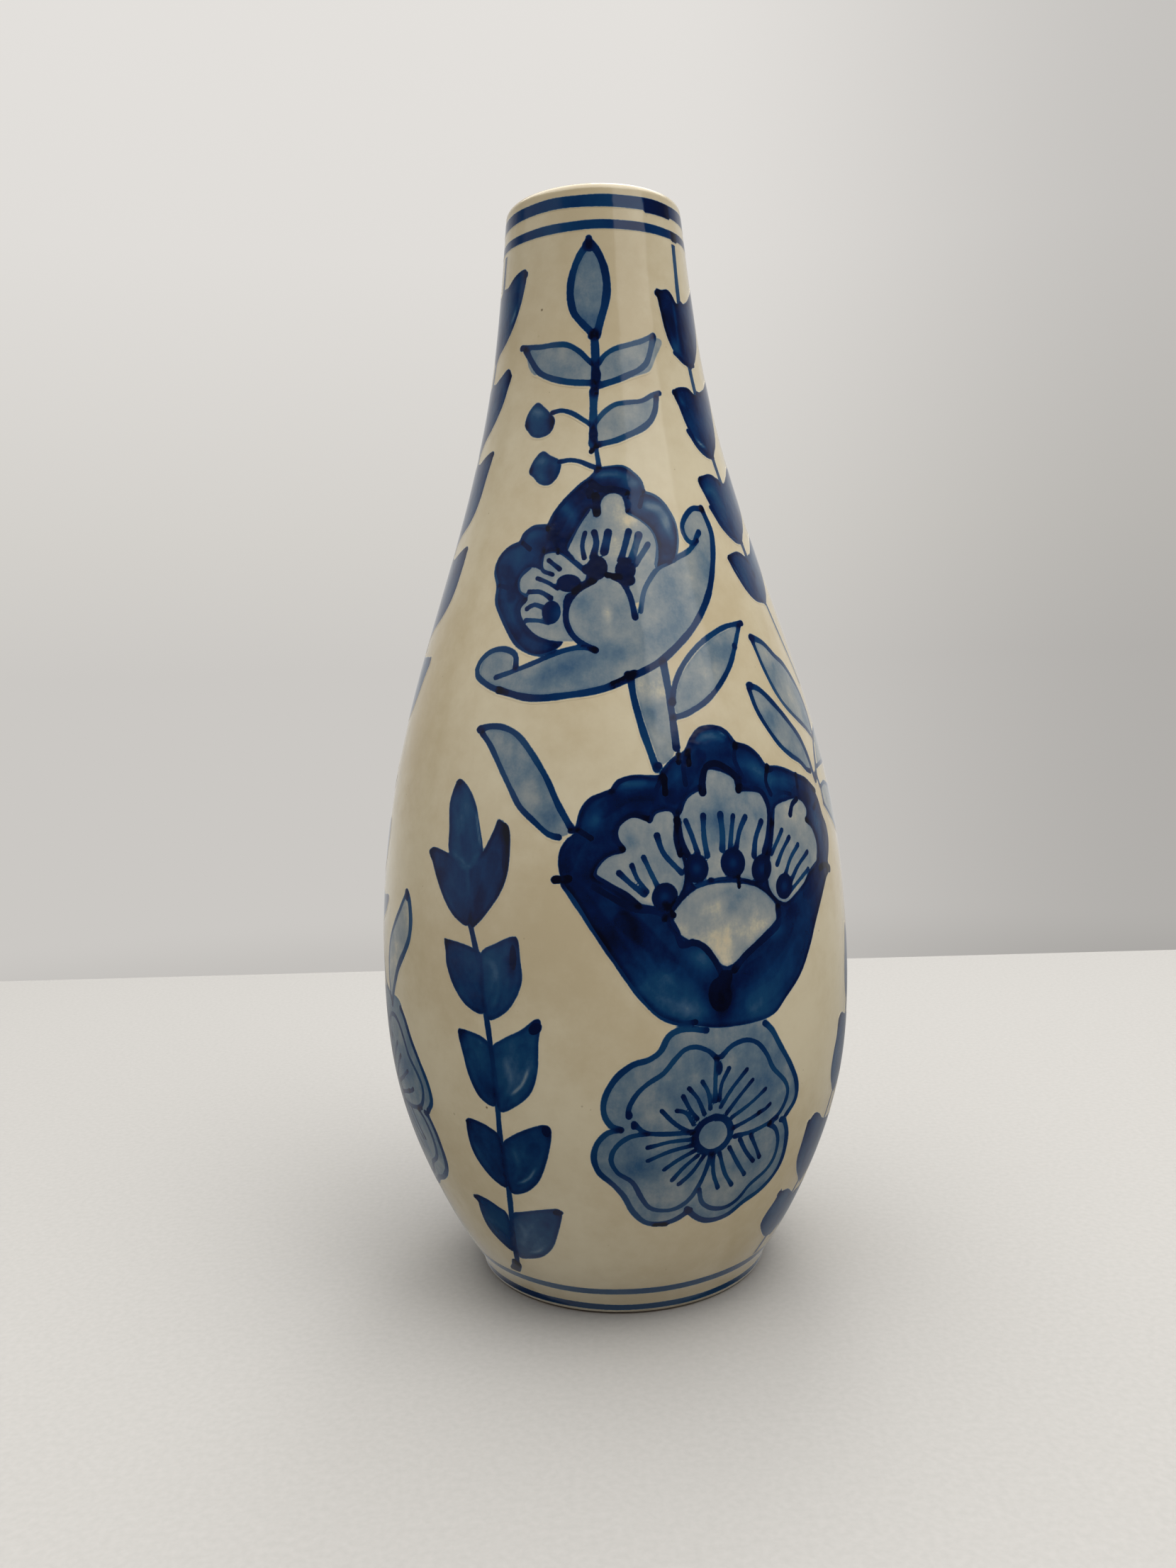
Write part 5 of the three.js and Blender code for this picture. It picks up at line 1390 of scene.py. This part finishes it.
def make_body():
    depth = -(GLAZE + COAT_GAP)
    inner_r, outer_r = FOOT_RING_INNER, FOOT_RING_OUTER
    foot = [(0.0, FOOT_RECESS), (12.0, FOOT_RECESS), (inner_r - 3, FOOT_RECESS),
            (inner_r - 1.4, FOOT_RECESS - 0.3), (inner_r - 0.5, 0.5), (inner_r, 0.1),
            (inner_r + 0.6, 0.0), (outer_r - 0.5, 0.0), (outer_r + 0.1, 0.15)]
    clay = foot + outside_profile(depth, 90) + inside_profile(depth, 90)[1:]
    settle(revolve("vase_clay", clay, clay_material(), False), "clay_body")
    coat = outside_profile(0, 86) + outside_profile(-GLAZE, 86)[::-1]
    outer = revolve("vase_outer_glaze", coat, plain_glaze_material(), True)
    settle(outer, "outer_glaze")
    coat = inside_profile(-GLAZE, 94)[::-1] + inside_profile(0, 94)
    inner = revolve("vase_inner_glaze", coat, inside_glaze_material(), False)
    settle(inner, "inner_glaze")


# Each band: node, span, load, seed and brush joins (angle, half width, sag, extra load).
BANDS = (
    ("rim_band_upper", RIM_UPPER, 0.70, 11, [(44, 12, 0.5, 0.20), (214, 9, 0.3, 0.14)]),
    ("rim_band_lower", RIM_LOWER, 0.72, 12, [(58, 4, 0.4, 0.20)]),
    ("foot_band_upper", FOOT_UPPER, 0.58, 13, [(-128, 7, 0.2, 0.12)]),
    ("foot_band_lower", FOOT_LOWER, 0.62, 14, [(150, 8, 0.2, 0.12)]),
)
# Each half: name, turn, sway and seed.
HALVES = (("front", 0, 0.0, 21), ("back", 180, BACK_SWAY, 58))


def make_paint():
    material = painted_material()
    for name, span, load, seed, joins in BANDS:
        piece = band("painted_" + name, span, load, seed, material, joins)
        settle(piece, name)
    for side, half_turn, sway, seed in HALVES:
        panel = Panel(half_turn, sway, seed)
        for motif, (paint, shift, _) in MOTIFS.items():
            panel.begin(motif, shift)
            paint(panel)
        for motif, (_, _, slot) in MOTIFS.items():
            node = f"{side}_{motif}"
            settle(film("painted_" + node, panel, motif, material), node)


# ---- Camera, light and floor -----------------------------------------------------------

# The camera is fitted to the vase's outline and bands, in millimetres and degrees.
CAMERA_AWAY = 301.2
CAMERA_UP = 145.7
CAMERA_YAW = 1.01
CAMERA_PITCH = -5.53
CAMERA_ROLL = 1.79
CAMERA_LENS = 38.03
SENSOR = 36.0
# The floor ends in front of the camera and behind the vase, in metres.
FLOOR_SIDE = 1.4
FLOOR_FRONT = -0.43
FLOOR_BACK = 0.29
# Each lamp: name, place and size in metres, power in watts, and whether the glaze mirrors it.
LAMPS = (
    ("key", (0.53, -0.28, 1.16), (0.7, 0.7), 4.7, False),
    ("fill", (0.0, -0.9, 0.10), (1.4, 0.4), 0.25, False),
    ("overhead", (0.0, 0.02, 1.35), (2.0, 2.0), 28.0, True),
)
LAMP_AIM = (0, 0, 0.12)
LAMP_COLOUR = (1.0, 0.97, 0.93)


def make_camera():
    data = bpy.data.cameras.new("camera")
    data.sensor_fit = "HORIZONTAL"
    data.sensor_width = SENSOR
    data.lens = CAMERA_LENS
    data.clip_start = 0.01
    camera = bpy.data.objects.new("camera", data)
    bpy.context.collection.objects.link(camera)
    turn = Matrix.Rotation(math.radians(CAMERA_YAW), 4, "Z")
    turn = turn @ Matrix.Rotation(math.radians(CAMERA_PITCH), 4, "X")
    turn = turn @ Matrix.Rotation(math.radians(CAMERA_ROLL), 4, "Y")
    turn = turn @ Matrix.Rotation(math.radians(90), 4, "X")
    camera.matrix_world = Matrix.Translation((0, -CAMERA_AWAY * MM, CAMERA_UP * MM)) @ turn
    bpy.context.scene.camera = camera


def softbox(name, place, size, power, mirrored):
    light = bpy.data.lights.new(name, "AREA")
    light.shape = "RECTANGLE"
    light.size, light.size_y = size
    light.energy = power
    light.color = LAMP_COLOUR
    obj = bpy.data.objects.new(name, light)
    bpy.context.collection.objects.link(obj)
    obj.location = place
    direction = Vector(LAMP_AIM) - Vector(place)
    obj.rotation_euler = direction.to_track_quat("-Z", "Y").to_euler()
    obj.visible_glossy = mirrored


def make_floor():
    nodes = Nodes(bpy.data.materials.new("pale_floor"))
    grain = nodes.noise(700.0, 4.0)
    stops = [(0.3, srgb(168, 167, 165)), (0.7, srgb(174, 173, 171))]
    nodes.feed(nodes.shader.inputs["Base Color"], nodes.ramp(grain, stops))
    nodes.shader.inputs["Roughness"].default_value = 0.7
    points = [(-FLOOR_SIDE, FLOOR_FRONT, 0), (FLOOR_SIDE, FLOOR_FRONT, 0),
              (FLOOR_SIDE, FLOOR_BACK, 0), (-FLOOR_SIDE, FLOOR_BACK, 0)]
    floor = new_object("floor", points, [[0, 1, 2, 3]], nodes.owner)
    floor.visible_glossy = False


FRONT_GLOW = 0.02
BELOW_GLOW = 0.04
NEAR_FLOOR_GLOW = 0.25
BACK_FLOOR_GLOW = 0.28
LEFT_GLOW = 0.26
RIGHT_GLOW = 1.15
SLIT_GLOW = 1.8
WALL_GLOW = 0.58
TOP_GLOW = 0.7
LAMP_GLOW = 3.2
GLOW_TINT = (1.0, 0.985, 0.96)
# Each span: low, high and soft edge, in degrees round from the front or as the direction's z.
LEFT_WINDOW = (-96.0, -50.0, 14.0)
RIGHT_WINDOW = (28.0, 68.0, 3.0)
SLIT = (92.5, 94.5, 0.8)
LAMP_ROUND = (160.0, 185.0, 6.0)
LAMP_UP = (0.60, 0.88, 0.06)
# Each edge: where a step begins and where it is complete.
BEHIND_EDGE = (104.0, 148.0)
RIGHT_WINDOW_EDGE = (0.36, 0.44)
SLIT_EDGE = (0.50, 0.56)
TOP_EDGE = (0.55, 0.90)
HORIZON_EDGE = (-0.30, -0.06)
NEAR_FLOOR_EDGE = (-0.80, -0.85)
BACK_FLOOR_EDGE = (0.0, -0.2)
WALL_FOOT_EDGE = (-0.19, -0.24)
WALL_SHADE_SPAN = (26.0, 60.0, 24.0)
WALL_SHADE = 0.27
WALL_FOOT_SHADE = 0.10


def between(nodes, value, low, high, soft):
    """One inside the span, falling to zero over a soft edge at both ends."""
    rise = nodes.step(value, low - soft, low)
    fall = nodes.step(value, high + soft, high)
    return nodes.math("MULTIPLY", rise, fall)


def room_glow(nodes, azimuth, z):
    """What the glaze mirrors: dark in front, a pale wall behind, soft windows at the sides, a lamp
    high behind, and the floor below."""
    side = nodes.math("ABSOLUTE", azimuth)
    behind = nodes.step(side, *BEHIND_EDGE)
    room = nodes.math("ADD", nodes.math("MULTIPLY", behind, WALL_GLOW - FRONT_GLOW), FRONT_GLOW)
    high = nodes.step(z, *RIGHT_WINDOW_EDGE)
    steep = nodes.step(z, *SLIT_EDGE)
    patches = (
        (between(nodes, azimuth, *LEFT_WINDOW), LEFT_GLOW),
        (nodes.math("MULTIPLY", between(nodes, azimuth, *RIGHT_WINDOW), high), RIGHT_GLOW),
        (nodes.math("MULTIPLY", between(nodes, azimuth, *SLIT), steep), SLIT_GLOW),
        (nodes.step(z, *TOP_EDGE), TOP_GLOW),
        (nodes.math("MULTIPLY", between(nodes, azimuth, *LAMP_ROUND),
                    between(nodes, z, *LAMP_UP)), LAMP_GLOW),
    )
    for mask, strength in patches:
        room = nodes.math("MAXIMUM", room, nodes.math("MULTIPLY", mask, strength))
    room = nodes.math("MULTIPLY", room, nodes.step(z, *HORIZON_EDGE))
    near = nodes.math("MULTIPLY", nodes.step(z, *NEAR_FLOOR_EDGE), NEAR_FLOOR_GLOW)
    back = nodes.math("MULTIPLY", behind, nodes.step(z, *BACK_FLOOR_EDGE))
    back = nodes.math("MULTIPLY", back, BACK_FLOOR_GLOW)
    floor = nodes.math("MAXIMUM", nodes.math("MAXIMUM", near, back), BELOW_GLOW)
    return nodes.math("ADD", room, floor)


def wall_seen(nodes, x, y, z):
    """The pale wall looked at directly, with painted shade: darker low down and towards the right."""
    stops = [(0.0, srgb(203, 200, 196)), (0.10, srgb(211, 208, 203)), (0.30, srgb(224, 221, 217)),
             (0.55, srgb(230, 227, 223))]
    wall = nodes.ramp(z, stops)
    aside = nodes.math("DEGREES", nodes.math("ARCTAN2", x, y))
    shade = nodes.math("MULTIPLY", between(nodes, aside, *WALL_SHADE_SPAN), WALL_SHADE)
    low = nodes.math("MULTIPLY", nodes.step(z, *WALL_FOOT_EDGE), WALL_FOOT_SHADE)
    shade = nodes.math("ADD", shade, low)
    return nodes.mix(shade, wall, (0.0, 0.0, 0.0, 1.0))


def make_world():
    """A studio seen by reflections and light. Looked at directly it is a pale wall with painted shade."""
    world = bpy.data.worlds.new("world")
    bpy.context.scene.world = world
    nodes = Nodes(world)
    direction = nodes.add("TexCoord").outputs["Generated"]
    x, y, z = nodes.add("SeparateXYZ", {0: direction}).outputs
    azimuth = nodes.math("DEGREES", nodes.math("ARCTAN2", x, nodes.math("MULTIPLY", y, -1.0)))
    room = room_glow(nodes, azimuth, z)
    tinted = {i: nodes.math("MULTIPLY", room, share) for i, share in enumerate(GLOW_TINT)}
    glow = nodes.add("CombineColor", tinted)
    seen = nodes.add("LightPath").outputs["Is Camera Ray"]
    background = nodes.tree.nodes["Background"]
    nodes.feed(background.inputs["Color"], nodes.mix(seen, glow.outputs[0], wall_seen(nodes, x, y, z)))


def make_light():
    make_world()
    for lamp in LAMPS:
        softbox(*lamp)


make_body()
make_paint()
make_camera()
make_floor()
make_light()
bpy.context.scene.view_settings.view_transform = "Standard"
